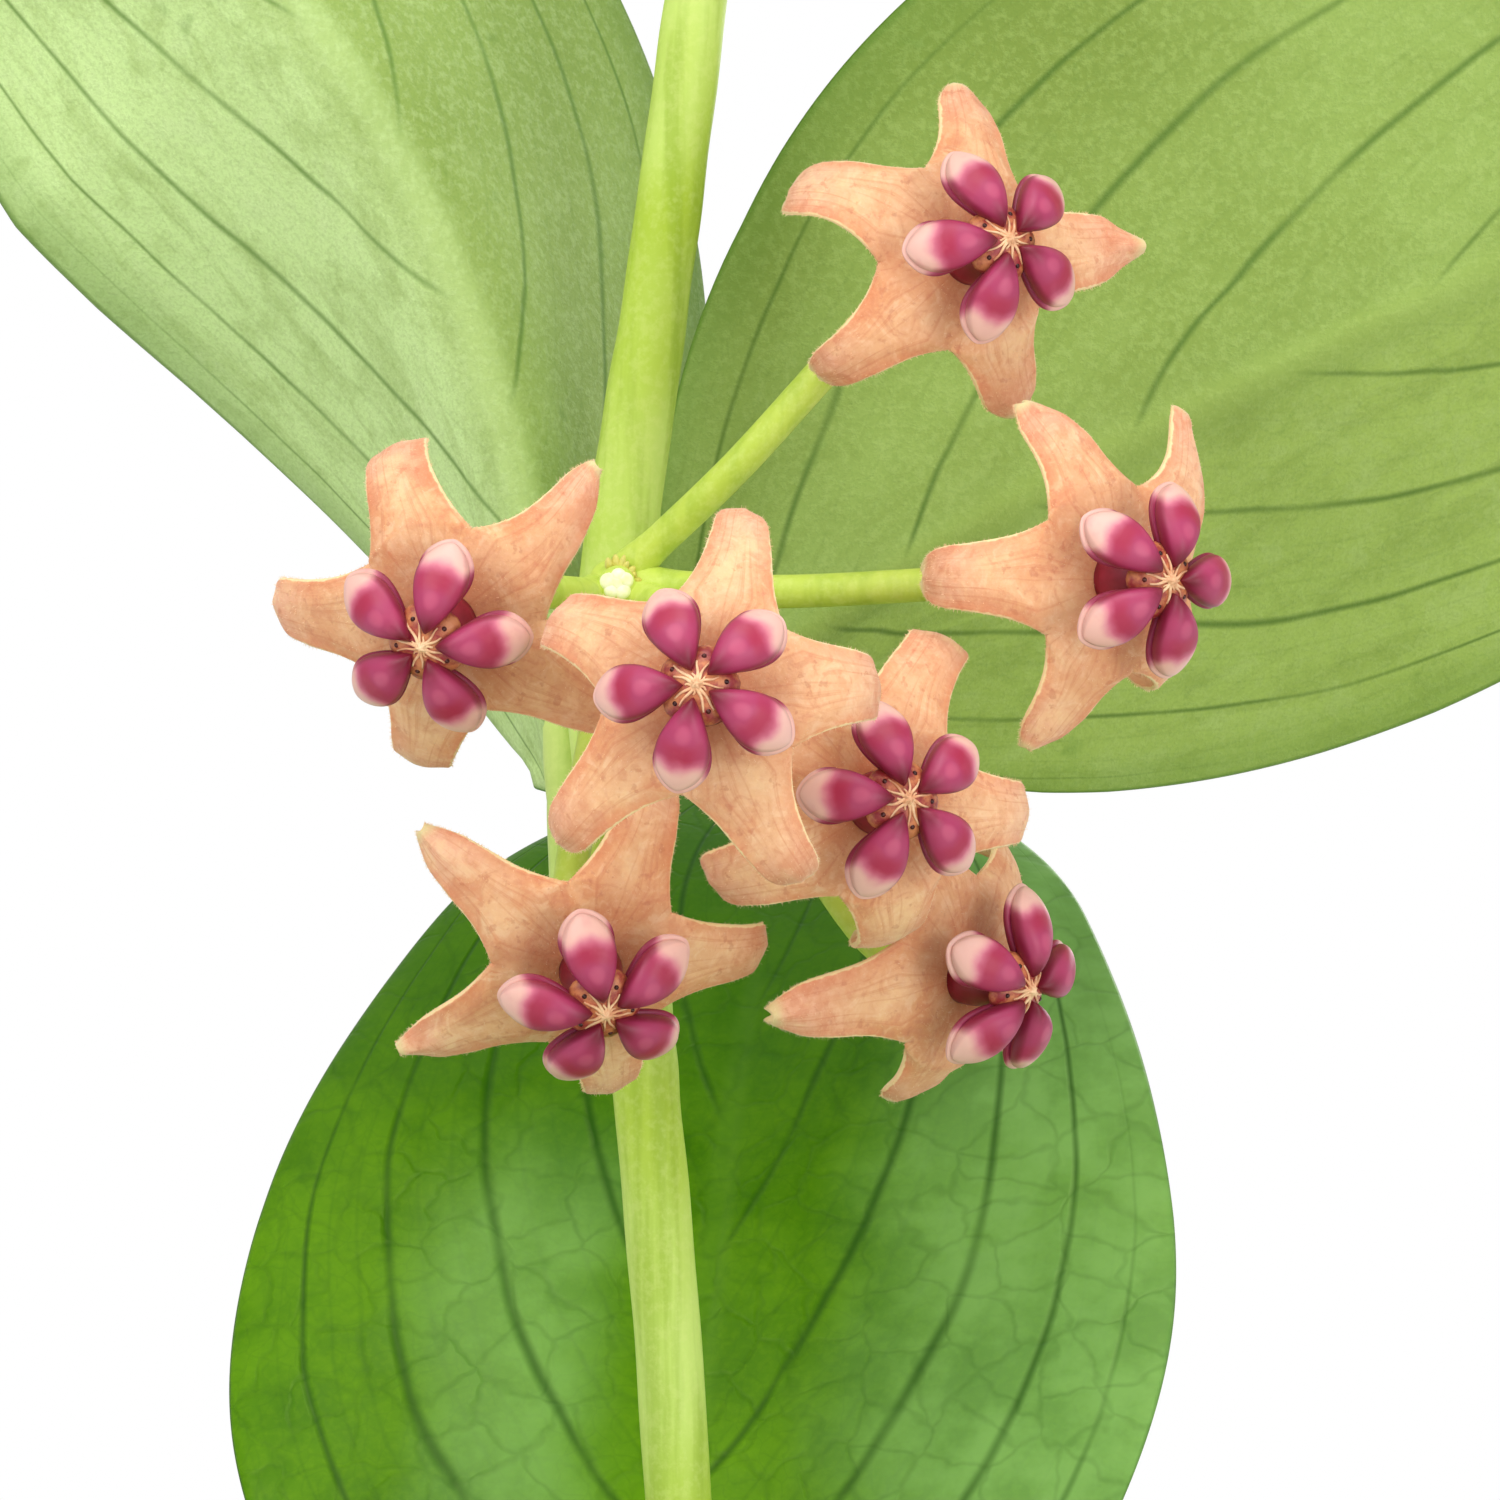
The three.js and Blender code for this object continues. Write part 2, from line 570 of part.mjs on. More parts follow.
// Place and turn of a flower: its own +Z is the way it faces, its first lobe is on +X.
function flowerMatrix({ at, right, up, roll }) {
  const [r, u] = [THREE.MathUtils.degToRad(right), THREE.MathUtils.degToRad(up)];
  const facing = new THREE.Vector3(Math.sin(r) * Math.cos(u), -Math.cos(r) * Math.cos(u), Math.sin(u));
  const top = new THREE.Vector3(0, 0, 1);
  const level = top.clone().cross(facing).normalize();
  const rise = facing.clone().cross(level);
  const matrix = new THREE.Matrix4().makeBasis(level, rise, facing);
  matrix.multiply(new THREE.Matrix4().makeRotationZ(THREE.MathUtils.degToRad(roll)));
  return matrix.setPosition(...at);
}

const inFlower = (angle, radius, height) => new THREE.Vector3(
  radius * Math.cos(angle), radius * Math.sin(angle), height);

// Stations of one lobe of a flower: radius, height and half width, as its spread, reach and
// taper say.
function lobeStations(flower, lobe) {
  const [spread, reach, taper] = [flower.spread[lobe], flower.reach[lobe], flower.taper[lobe]];
  const end = spread > 0 ? COROLLA.held : COROLLA.folded;
  const rim = COROLLA.discRadius;
  return COROLLA.hooked.map((station, row, all) => {
    const [radius, height, half] = station.map(
      (value, i) => value + (end[row][i] - value) * Math.abs(spread));
    const narrowed = half * (1 - taper * (row / (all.length - 1)));
    return [rim + (radius - rim) * reach, height, Math.max(COROLLA.tipHalf, narrowed)];
  });
}

// The star-shaped corolla: a disc with five lobes that droop and hook back at the tip,
// as a middle surface that is thickened to both sides.
function makeCorolla(flower) {
  const { lean } = flower;
  const acrossLobe = [-1, 0, 1];
  const rim = COROLLA.discRadius;
  const [, rimHeight] = COROLLA.hooked[0];
  const points = [new THREE.Vector3(0, 0, 0)];
  const quads = [];
  const fans = [];
  const outline = [];
  const rimIndex = (k) => 1 + (k % 10);
  for (let k = 0; k < 10; k += 1) {
    const radius = k % 2 === 0 ? rim : rim * 0.97;
    points.push(inFlower((k * Math.PI) / 5, radius, k % 2 === 0 ? rimHeight : -0.8));
    fans.push([0, rimIndex(k), rimIndex(k + 1)]);
  }
  lean.forEach((sway, lobe) => {
    const axis = (2 * Math.PI * lobe) / lean.length;
    const forward = inFlower(axis, 1, 0);
    const sideways = inFlower(axis + Math.PI / 2, 1, 0);
    let previous = [rimIndex(2 * lobe + 9), rimIndex(2 * lobe), rimIndex(2 * lobe + 1)];
    const edge = { left: [previous[0]], right: [previous[2]] };
    lobeStations(flower, lobe).slice(1).forEach(([radius, height, half], row) => {
      const towardsTip = row > 2;
      const far = THREE.MathUtils.clamp((radius - rim) / COROLLA.leanReach, 0, 1);
      const current = acrossLobe.map((u) => {
        const roll = COROLLA.rollBack * Math.abs(u);
        const point = forward.clone().multiplyScalar(radius - (towardsTip ? 0.6 * roll : 0))
          .addScaledVector(sideways, u * half + sway * far * far);
        point.z = height - (towardsTip ? 0 : roll);
        points.push(point);
        return points.length - 1;
      });
      for (let j = 0; j < 2; j += 1) {
        quads.push([previous[j], current[j], current[j + 1], previous[j + 1]]);
      }
      edge.left.push(current[0]);
      edge.right.push(current[2]);
      previous = current;
    });
    outline.push(...edge.left, previous[1], ...edge.right.reverse().slice(0, -1));
  });
  const triangles = [...fans];
  quads.forEach(([a, b, c, d]) => triangles.push([a, b, c], [a, c, d]));
  return thickened(points, triangles, outline, COROLLA.thickness);
}

// Both faces of a thin sheet, half its thickness to each side, joined along its outline.
function thickened(points, triangles, outline, thickness) {
  const sheet = new THREE.BufferGeometry().setFromPoints(points);
  sheet.setIndex(triangles.flat());
  sheet.computeVertexNormals();
  const normals = sheet.attributes.normal;
  const count = points.length;
  const shifted = (amount) => points.map((point, i) => point.clone()
    .addScaledVector(new THREE.Vector3().fromBufferAttribute(normals, i), amount));
  const all = [...shifted(thickness / 2), ...shifted(-thickness / 2)];
  const faces = [];
  triangles.forEach(([a, b, c]) => faces.push([a, b, c], [c + count, b + count, a + count]));
  outline.forEach((a, i) => {
    const b = outline[(i + 1) % outline.length];
    faces.push([b, a, a + count], [b, a + count, b + count]);
  });
  return closedBody(all, faces);
}

// The corona: five plump glossy lobes between the petals, round a short column.
function makeCorona() {
  const base = COROLLA.thickness / 2 + GAP;
  const column = uprightCylinder(CORONA.columnRadius, base, CORONA.columnHeight, 0, 0, 8);
  const pieces = [column];
  for (let lobe = 0; lobe < 5; lobe += 1) {
    const plump = new THREE.SphereGeometry(1, 7, 5);
    const position = plump.attributes.position;
    for (let i = 0; i < position.count; i += 1) {
      const along = position.getY(i);
      const narrowing = along > 0 ? 1 - 0.12 * along : 1 + 0.28 * along;
      position.setXYZ(i, along, position.getX(i) * narrowing, position.getZ(i));
    }
    plump.scale(-CORONA.lobeLength / 2, CORONA.lobeWidth / 2, CORONA.lobeHeight / 2);
    plump.rotateY(THREE.MathUtils.degToRad(CORONA.lobeSlope));
    plump.rotateZ(Math.PI);
    plump.translate(CORONA.lobeReach, 0, CORONA.lobeRise);
    plump.rotateZ(((2 * lobe + 1) * Math.PI) / 5);
    pieces.push(plump);
  }
  return joined(pieces);
}

// The umbel's stalk: a peduncle, a knob and one bowed pedicel to the back of each flower.
function makeUmbelStalk() {
  const pedunclePath = new THREE.CatmullRomCurve3(PEDUNCLE.map(vector), false, 'centripetal');
  const stem = tube(pedunclePath, evenly(6), (t) => PEDUNCLE_RADIUS * (1 + 0.12 * (1 - t)), 8);
  const knob = new THREE.SphereGeometry(1, 8, 6);
  knob.rotateX(Math.PI / 2);
  knob.scale(KNOB.radius, KNOB.radius, KNOB.height);
  knob.translate(...KNOB.at);
  const pedicels = FLOWERS.map((flower) => {
    const matrix = flowerMatrix(flower);
    const behind = (distance) => new THREE.Vector3(0, 0, -distance).applyMatrix4(matrix);
    const end = behind(COROLLA.thickness / 2 + GAP + 0.1);
    const centre = vector(KNOB.at);
    const outwards = end.clone().sub(centre).normalize();
    const span = end.distanceTo(centre);
    const top = centre.clone().addScaledVector(outwards, 0.4 * KNOB.radius);
    top.z += 0.3 * KNOB.height;
    const first = flower.root ? centre.clone().add(vector(flower.root)) : top;
    const bow = centre.clone().addScaledVector(outwards, 0.34 * span);
    bow.z += Math.max(0, PEDICEL.length - span) * 0.45 + (flower.bow ?? 0);
    const path = new THREE.CatmullRomCurve3([first, bow, behind(5), end], false, 'centripetal');
    const radiusAt = (t) => PEDICEL.radius * (t > 0.9 ? 1.35 : 1);
    return tube(path, [0, 0.2, 0.4, 0.6, 0.8, 0.93, 1], radiusAt, 6);
  });
  return joined([stem, knob, ...pedicels]);
}

// ---------------------------------------------------------------- the plant

const plant = new THREE.Group();

function addPiece(name, geometry, look, matrix) {
  const mesh = new THREE.Mesh(geometry, look());
  mesh.name = name;
  if (matrix) {
    matrix.decompose(mesh.position, mesh.quaternion, mesh.scale);
  }
  plant.add(mesh);
}

addPiece('pot', makePot(), MATERIALS.pot);
addPiece('soil', makeSoil(), MATERIALS.soil);
addPiece('vine_main', makeVine(MAIN_VINE), MATERIALS.vine);
addPiece('vine_left', makeVine(LEFT_VINE), MATERIALS.vine);
addPiece('vine_right', makeVine(RIGHT_VINE), MATERIALS.vine);

for (const leaf of [...PHOTO_LEAVES, ...PLAIN_LEAVES.map(plainLeaf)]) {
  addPiece(leaf.name, makeLeaf({ ...LEAF, ...leaf }), leaf.young ? MATERIALS.youngLeaf : MATERIALS.leaf);
}

addPiece('umbel_stalk', makeUmbelStalk(), MATERIALS.stalk);
const corona = makeCorona();
FLOWERS.forEach((flower, i) => {
  addPiece(`corolla_${i + 1}`, makeCorolla(flower), MATERIALS.corolla, flowerMatrix(flower));
  addPiece(`corona_${i + 1}`, corona, MATERIALS.corona, flowerMatrix(flower));
});

export default plant;
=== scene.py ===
# %% [markdown]
# # A potted wax plant in flower
# The plant is a climbing vine with leathery leaves in pairs and one hanging umbel of
# seven waxy stars. Its construction is already there as a frame of plain solids, which
# this script dresses: every stem, leaf and petal gets a fine surface and its own finish.
# Everything is worked out in millimetres and becomes metres when a mesh is made.

# %% Load the frame
import math

import bmesh
import bpy
import numpy as np
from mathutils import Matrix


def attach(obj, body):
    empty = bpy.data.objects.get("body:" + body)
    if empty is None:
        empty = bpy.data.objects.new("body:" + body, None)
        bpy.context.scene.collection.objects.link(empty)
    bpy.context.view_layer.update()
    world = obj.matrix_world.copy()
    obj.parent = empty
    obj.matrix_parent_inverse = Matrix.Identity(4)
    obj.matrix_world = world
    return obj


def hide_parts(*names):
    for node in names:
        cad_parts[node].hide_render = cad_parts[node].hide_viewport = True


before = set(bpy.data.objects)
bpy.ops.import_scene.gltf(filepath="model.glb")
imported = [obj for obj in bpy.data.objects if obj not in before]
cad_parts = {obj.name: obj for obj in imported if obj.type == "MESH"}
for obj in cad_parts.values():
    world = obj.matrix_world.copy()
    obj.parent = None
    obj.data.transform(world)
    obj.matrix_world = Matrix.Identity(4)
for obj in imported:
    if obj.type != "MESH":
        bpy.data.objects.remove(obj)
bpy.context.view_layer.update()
MM = 0.001
print("frame of", len(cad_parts), "solids")

# %% [markdown]
# ## Camera
# The picture is a close view, level with the flowers. A long lens from a third of a metre
# away gives its flat perspective, with 75 mm of the plant across the image.

# %% Camera
CAMERA_PLACE = (4, -350, 222)
PICTURE_WIDTH = 75  # millimetres across the image at the vine
SENSOR = 36  # millimetres, as in an ordinary camera

camera_data = bpy.data.cameras.new("close_camera")
camera_data.sensor_width = SENSOR
camera_data.lens = SENSOR * -CAMERA_PLACE[1] / PICTURE_WIDTH
camera_data.clip_start = 0.01
camera_data.clip_end = 20
camera = bpy.data.objects.new("close_camera", camera_data)
camera.location = [c * MM for c in CAMERA_PLACE]
camera.rotation_euler = (math.pi / 2, 0, 0)
bpy.context.scene.collection.objects.link(camera)
bpy.context.scene.camera = camera
print("lens", round(camera_data.lens, 1), "mm")

# %% [markdown]
# ## Light
# The flowers are lit softly from all round, as in a white room: a bright even world, a
# wide cloud light that keeps the floor even, a large soft lamp at the upper left, one
# overhead that draws the pale gloss on the leaf that leans back, one far out to the right
# that lifts the shadows, and one behind. The world is plain white to the camera.

# %% World and lamps
WORLD_WHITE = (0.94, 0.97, 1.0, 1)
WORLD_STRENGTH = 0.56


def make_world():
    """White to the camera, and a weaker, slightly bluish white as light on the plant."""
    world = bpy.data.worlds.new("white_room")
    world.use_nodes = True
    tree = world.node_tree
    tree.nodes.clear()
    path = tree.nodes.new("ShaderNodeLightPath")
    mix = tree.nodes.new("ShaderNodeMixShader")
    out = tree.nodes.new("ShaderNodeOutputWorld")
    lit, seen = (WORLD_WHITE, WORLD_STRENGTH), ((1, 1, 1, 1), 1.0)
    for place, (colour, strength) in enumerate((lit, seen), 1):
        white = tree.nodes.new("ShaderNodeBackground")
        white.inputs["Color"].default_value = colour
        white.inputs["Strength"].default_value = strength
        tree.links.new(white.outputs["Background"], mix.inputs[place])
    tree.links.new(path.outputs["Is Camera Ray"], mix.inputs["Fac"])
    tree.links.new(mix.outputs["Shader"], out.inputs["Surface"])
    bpy.context.scene.world = world


def add_lamp(name, kind, energy, turn, place=(0, 0, 0)):
    """A lamp at place, in millimetres, turned by three angles."""
    data = bpy.data.lights.new(name, kind)
    data.energy = energy
    lamp = bpy.data.objects.new(name, data)
    lamp.location = np.array(place, float) * MM
    lamp.rotation_euler = turn
    bpy.context.scene.collection.objects.link(lamp)
    return data


def soft_lamp(name, place, aim, size, watts, colour=(1, 1, 1)):
    """A square area lamp at place, in millimetres, turned towards aim."""
    away = np.array(place, float) - np.array(aim, float)
    away /= np.linalg.norm(away)
    turn = (math.acos(away[2]), 0, math.atan2(away[0], -away[1]))
    data = add_lamp(name, "AREA", watts, turn, place)
    data.shape = "SQUARE"
    data.size = size * MM
    data.color = colour


def overcast_sun(name, turn, strength, spread):
    """A sun as wide as a bright patch of cloud, which lights the floor evenly too."""
    data = add_lamp(name, "SUN", strength, [math.radians(a) for a in turn])
    data.angle = math.radians(spread)


make_world()
FLOWER_PLACE = (4, -20, 225)
overcast_sun("cloud_light", (38, -14, 0), 0.92, 70)
soft_lamp("key_lamp", (-420, -560, 620), FLOWER_PLACE, 420, 1.6, (1.0, 0.99, 0.96))
soft_lamp("top_lamp", (60, -260, 900), (0, 20, 200), 420, 1.9)
soft_lamp("fill_lamp", (620, -800, 290), FLOWER_PLACE, 500, 2.7)
soft_lamp("back_lamp", (350, 600, 500), (0, 0, 200), 500, 2.0)
bpy.context.scene.view_settings.view_transform = "Standard"
print("lamps ready")

# %% [markdown]
# ## From arrays to meshes
# Each surface below is a grid of points computed at once with numpy. A few helpers carry
# such grids into Blender: they weld the seams and poles, turn all faces outwards and keep
# two maps, one that runs over the whole surface and one in millimetres for fine patterns.

# %% Helpers for grids
MAP_SCALE = 0.1  # the fine map counts centimetres


def unit(vectors):
    """Each vector divided by its length."""
    return vectors / np.maximum(np.linalg.norm(vectors, axis=-1, keepdims=True), 1e-12)


def ramp(values, t):
    """Value at t (0 to 1) of evenly spaced values, joined by straight lines."""
    return np.interp(t, np.linspace(0, 1, len(values)), values)


def smoothstep(low, high, x):
    """0 up to low, 1 from high on, and the S curve 3s^2 - 2s^3 between them."""
    s = np.clip((x - low) / (high - low), 0, 1)
    return s * s * (3 - 2 * s)


def normals(grid):
    """A grid's normals: the cross product of its steps along rows and columns."""
    return unit(np.cross(np.gradient(grid, axis=0), np.gradient(grid, axis=1)))


def rings(radius, angle, height):
    """Rings round the z axis, from each point's radius, angle and height."""
    x, y = radius * np.cos(angle), radius * np.sin(angle)
    return np.stack(np.broadcast_arrays(x, y, height), -1)


def turned(forward, side, up, turn):
    """Points so far forward, sideways and up, turned about the z axis."""
    x = forward * math.cos(turn) - side * math.sin(turn)
    y = forward * math.sin(turn) + side * math.cos(turn)
    return np.stack(np.broadcast_arrays(x, y, up), -1)


def map_of(across, along):
    """A map of a grid: both values at each of its points."""
    return np.stack(np.broadcast_arrays(across, along), -1)


def grid_quads(rows, columns, wrap=False):
    """Corner numbers of the quads of a rows x columns grid, closed sideways if wrap."""
    right = columns if wrap else columns - 1
    r, c = np.meshgrid(np.arange(rows - 1), np.arange(right), indexing="ij")
    a = r * columns + c
    b = r * columns + (c + 1) % columns
    return np.stack([a, b, b + columns, a + columns], -1).reshape(-1, 4)


def grid_part(points, whole_map, fine_map, slot=0, wrap=False):
    """One surface of a piece: its points, quads, two maps and its material's number."""
    return {
        "points": np.asarray(points, float).reshape(-1, 3),
        "quads": grid_quads(*points.shape[:2], wrap),
        "whole": np.asarray(whole_map, float).reshape(-1, 2),
        "fine": np.asarray(fine_map, float).reshape(-1, 2) * MAP_SCALE,
        "slot": slot,
    }


def closed_part(points, slot=0):
    """A surface closed sideways, for a finish that reads neither map."""
    flat = np.zeros(points.shape[:2] + (2,))
    return grid_part(points, flat, flat, slot, wrap=True)


# %% Helpers for pieces
WELD = 3e-6  # metres


def place_piece(name, mesh, replaces):
    """The mesh as a piece of the plant's one body, in place of the solids it replaces."""
    piece = bpy.data.objects.new(name, mesh)
    bpy.context.scene.collection.objects.link(piece)
    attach(piece, "root")
    if replaces:
        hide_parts(*replaces)
    return piece


def make_piece(name, parts, materials, replaces):
    """One object of one or more surfaces: welded, turned outwards and smooth."""
    offsets = np.cumsum([0] + [len(p["points"]) for p in parts])
    points = np.concatenate([p["points"] for p in parts]) * MM
    quads = np.concatenate([p["quads"] + o for p, o in zip(parts, offsets)])
    slots = np.concatenate([np.full(len(p["quads"]), p["slot"]) for p in parts])
    mesh = bpy.data.meshes.new(name)
    mesh.vertices.add(len(points))
    mesh.vertices.foreach_set("co", points.ravel())
    mesh.loops.add(quads.size)
    mesh.loops.foreach_set("vertex_index", quads.ravel().astype(np.int32))
    mesh.polygons.add(len(quads))
    mesh.polygons.foreach_set("loop_start", np.arange(0, quads.size, 4, dtype=np.int32))
    mesh.polygons.foreach_set("material_index", slots.astype(np.int32))
    mesh.update(calc_edges=True)
    for label in ("whole", "fine"):
        values = np.concatenate([p[label] for p in parts])[quads.ravel()]
        layer = mesh.uv_layers.new(name=label)
        layer.data.foreach_set("uv", values.ravel().astype(np.float32))
    for material in materials:
        mesh.materials.append(material)
    work = bmesh.new()
    work.from_mesh(mesh)
    bmesh.ops.remove_doubles(work, verts=work.verts, dist=WELD)
    bmesh.ops.recalc_face_normals(work, faces=work.faces)
    work.to_mesh(mesh)
    work.free()
    mesh.polygons.foreach_set("use_smooth", np.ones(len(mesh.polygons), bool))
    return place_piece(name, mesh, replaces)


# %% [markdown]
# ## Paths and tubes
# A stem is a round section carried along a path. The path is a centripetal Catmull-Rom
# curve: it passes through every point of a short list without swinging out between them.

# %% Paths and tubes


def catmull_rom(points, t):
    """Centripetal Catmull-Rom curve through points, at t from 0 to 1. In each span the
    curve blends the lines through its four nearest points, by the square root of their
    distances; the ends are continued straight."""
    p = np.array(points, float)
    p = np.vstack([2 * p[0] - p[1], p, 2 * p[-1] - p[-2]])
    place = np.clip(np.asarray(t, float), 0, 1) * (len(points) - 1)
    span = np.minimum(place.astype(int), len(points) - 2)
    f = (place - span)[:, None]
    p0, p1, p2, p3 = (p[span + k] for k in range(4))
    d01, d12, d23 = (
        np.maximum(np.linalg.norm(b - a, axis=1, keepdims=True) ** 0.5, 1e-9)
        for a, b in ((p0, p1), (p1, p2), (p2, p3))
    )
    leave = ((p1 - p0) / d01 - (p2 - p0) / (d01 + d12) + (p2 - p1) / d12) * d12
    arrive = ((p2 - p1) / d12 - (p3 - p1) / (d12 + d23) + (p3 - p2) / d23) * d12
    return (
        (2 * f**3 - 3 * f**2 + 1) * p1
        + (f**3 - 2 * f**2 + f) * leave
        + (-2 * f**3 + 3 * f**2) * p2
        + (f**3 - f**2) * arrive
    )


def tube_part(path, radius, sides=24, slot=0, wobble=0.0):
    """A closed tube: circles of the given radius round the path, square to its run, that
    swell by the share wobble three times round. The first side direction is whichever
    axis is most nearly square to the whole path. The ends shrink to a point."""
    path = np.asarray(path, float)
    tangent = unit(np.gradient(path, axis=0))
    axis = np.eye(3)[np.argmin(np.abs(tangent).mean(0))]
    side = unit(np.cross(tangent, axis))
    up = np.cross(tangent, side)
    radius = np.array(radius, float) * np.ones(len(path))
    rows = np.concatenate([[0], np.arange(len(path)), [len(path) - 1]])
    ring = radius[rows] * np.concatenate([[0], np.ones(len(path)), [0]])
    angle = np.linspace(0, 2 * np.pi, sides, endpoint=False)
    reach = ring[:, None] * (1 + wobble * np.sin(3 * angle + 0.35 * rows[:, None]))
    sideways = (reach * np.cos(angle))[..., None] * side[rows][:, None]
    upwards = (reach * np.sin(angle))[..., None] * up[rows][:, None]
    points = path[rows][:, None] + sideways + upwards
    steps = np.linalg.norm(np.diff(path, axis=0), axis=1)
    length = np.concatenate([[0], np.cumsum(steps)])[rows, None]
    around = angle / (2 * np.pi)
    whole = map_of(around, length / max(length[-1, 0], 1e-9))
    fine = map_of(around * 2 * np.pi * radius.mean(), length)
    return grid_part(points, whole, fine, slot, wrap=True)


# %% [markdown]
# ## Colour and pattern
# Living surfaces are never one flat colour. The materials below are built by small
# functions that add nodes, and the effects that several share are node groups: the veins
# of a leaf, and the fine mottling of plant skin.

# %% Node helpers


def srgb(red, green, blue):
    """A colour as a picture gives it, 0 to 255, as linear light."""
    values = np.array([red, green, blue]) / 255
    linear = np.where(values <= 0.04045, values / 12.92, ((values + 0.055) / 1.055) ** 2.4)
    return (*linear, 1.0)


class Nodes:
    """Short names for adding nodes to one tree and joining them. A method gives back the
    socket with its result."""

    def __init__(self, tree):
        self.tree = tree

    def add(self, kind, **settings):
        node = self.tree.nodes.new(kind)
        for key, value in settings.items():
            setattr(node, key, value)
        return node

    def put(self, value, socket):
        """Link a socket's value, or set a plain number or colour on the socket itself."""
        if isinstance(value, bpy.types.NodeSocket):
            self.tree.links.new(value, socket)
        else:
            socket.default_value = value

    def fill(self, sockets, values):
        for name, value in values.items():
            self.put(value, sockets[name])

    def math(self, operation, a, b=0.0):
        node = self.add("ShaderNodeMath", operation=operation)
        self.put(a, node.inputs[0])
        self.put(b, node.inputs[1])
        return node.outputs[0]

    def plus(self, a, b):
        return self.math("ADD", a, b)

    def minus(self, a, b):
        return self.math("SUBTRACT", a, b)

    def times(self, a, b):
        return self.math("MULTIPLY", a, b)

    def weighted(self, *terms):
        """The sum of values, each times its own weight."""
        total = self.times(*terms[0])
        for term in terms[1:]:
            total = self.plus(total, self.times(*term))
        return total

    def between(self, value, low, high, to_low=0.0, to_high=1.0):
        """to_low up to low, to_high from high on, and an S curve between them."""
        node = self.add("ShaderNodeMapRange", interpolation_type="SMOOTHSTEP")
        for place, item in enumerate((value, low, high, to_low, to_high)):
            self.put(item, node.inputs[place])
        return node.outputs[0]

    def fall(self, value, low, high):
        """1 up to low and 0 from high on."""
        return self.between(value, low, high, 1.0, 0.0)

    def mix(self, factor, a, b):
        node = self.add("ShaderNodeMix", data_type="RGBA")
        for place, item in ((0, factor), (6, a), (7, b)):
            self.put(item, node.inputs[place])
        return node.outputs[2]

    def coats(self, base, *rows):
        """Colours laid over a base one by one. Each row is a mask, the share of it that
        counts, and a colour."""
        for mask, share, colour in rows:
            base = self.mix(self.times(mask, share), base, colour)
        return base

    def noise(self, vector, scale, detail=3.0, rough=0.5, distort=0.0, out="Fac"):
        node = self.add("ShaderNodeTexNoise")
        self.fill(node.inputs, {"Vector": vector, "Scale": scale, "Detail": detail,
                                "Roughness": rough, "Distortion": distort})
        return node.outputs[out]

    def stretch(self, vector, scale):
        node = self.add("ShaderNodeMapping")
        self.fill(node.inputs, {"Vector": vector, "Scale": scale})
        return node.outputs[0]

    def map(self, name):
        return self.add("ShaderNodeUVMap", uv_map=name).outputs[0]

    def place(self):
        return self.add("ShaderNodeTexCoord").outputs["Object"]

    def split(self, vector):
        node = self.add("ShaderNodeSeparateXYZ")
        self.put(vector, node.inputs[0])
        return node.outputs

    def bump(self, height, distance, strength=0.5):
        """A bump whose distance is in millimetres."""
        node = self.add("ShaderNodeBump")
        values = {"Height": height, "Distance": distance * MM, "Strength": strength}
        self.fill(node.inputs, values)
        return node.outputs[0]

    def group(self, tree, values):
        node = self.add("ShaderNodeGroup", node_tree=tree)
        self.fill(node.inputs, values)
        return node.outputs


def new_material(name):
    """A material with a Principled shader, and the helper for its nodes."""
    material = bpy.data.materials.new(name)
    material.use_nodes = True
    tree = material.node_tree
    tree.nodes.clear()
    nodes = Nodes(tree)
    shader = nodes.add("ShaderNodeBsdfPrincipled")
    out = nodes.add("ShaderNodeOutputMaterial")
    tree.links.new(shader.outputs[0], out.inputs[0])
    return material, nodes, shader.inputs


def new_group(name, inputs, outputs):
    """A node group. An input is a number with its default, or a vector where that is
    None; the outputs are masks."""
    tree = bpy.data.node_groups.new(name, "ShaderNodeTree")
    for label, default in inputs.items():
        kind = "NodeSocketVector" if default is None else "NodeSocketFloat"
        socket = tree.interface.new_socket(label, in_out="INPUT", socket_type=kind)
        if default is not None:
            socket.default_value = default
    for label in outputs:
        tree.interface.new_socket(label, in_out="OUTPUT", socket_type="NodeSocketFloat")
    nodes = Nodes(tree)
    given, out = nodes.add("NodeGroupInput"), nodes.add("NodeGroupOutput")
    return tree, nodes, given.outputs, out.inputs


# %% [markdown]
# ### Veins
# A leaf's side veins leave the midrib close to its base, run forwards in long arcs and
# fade before the margin. With the blade's own map, x across and y along, every vein is a
# line where one number is whole. That number grows with the square root of the height y,
# less what the arc has climbed at that distance from the midrib. A fine net of cell edges
# joins them.

# %% Group: leaf veins


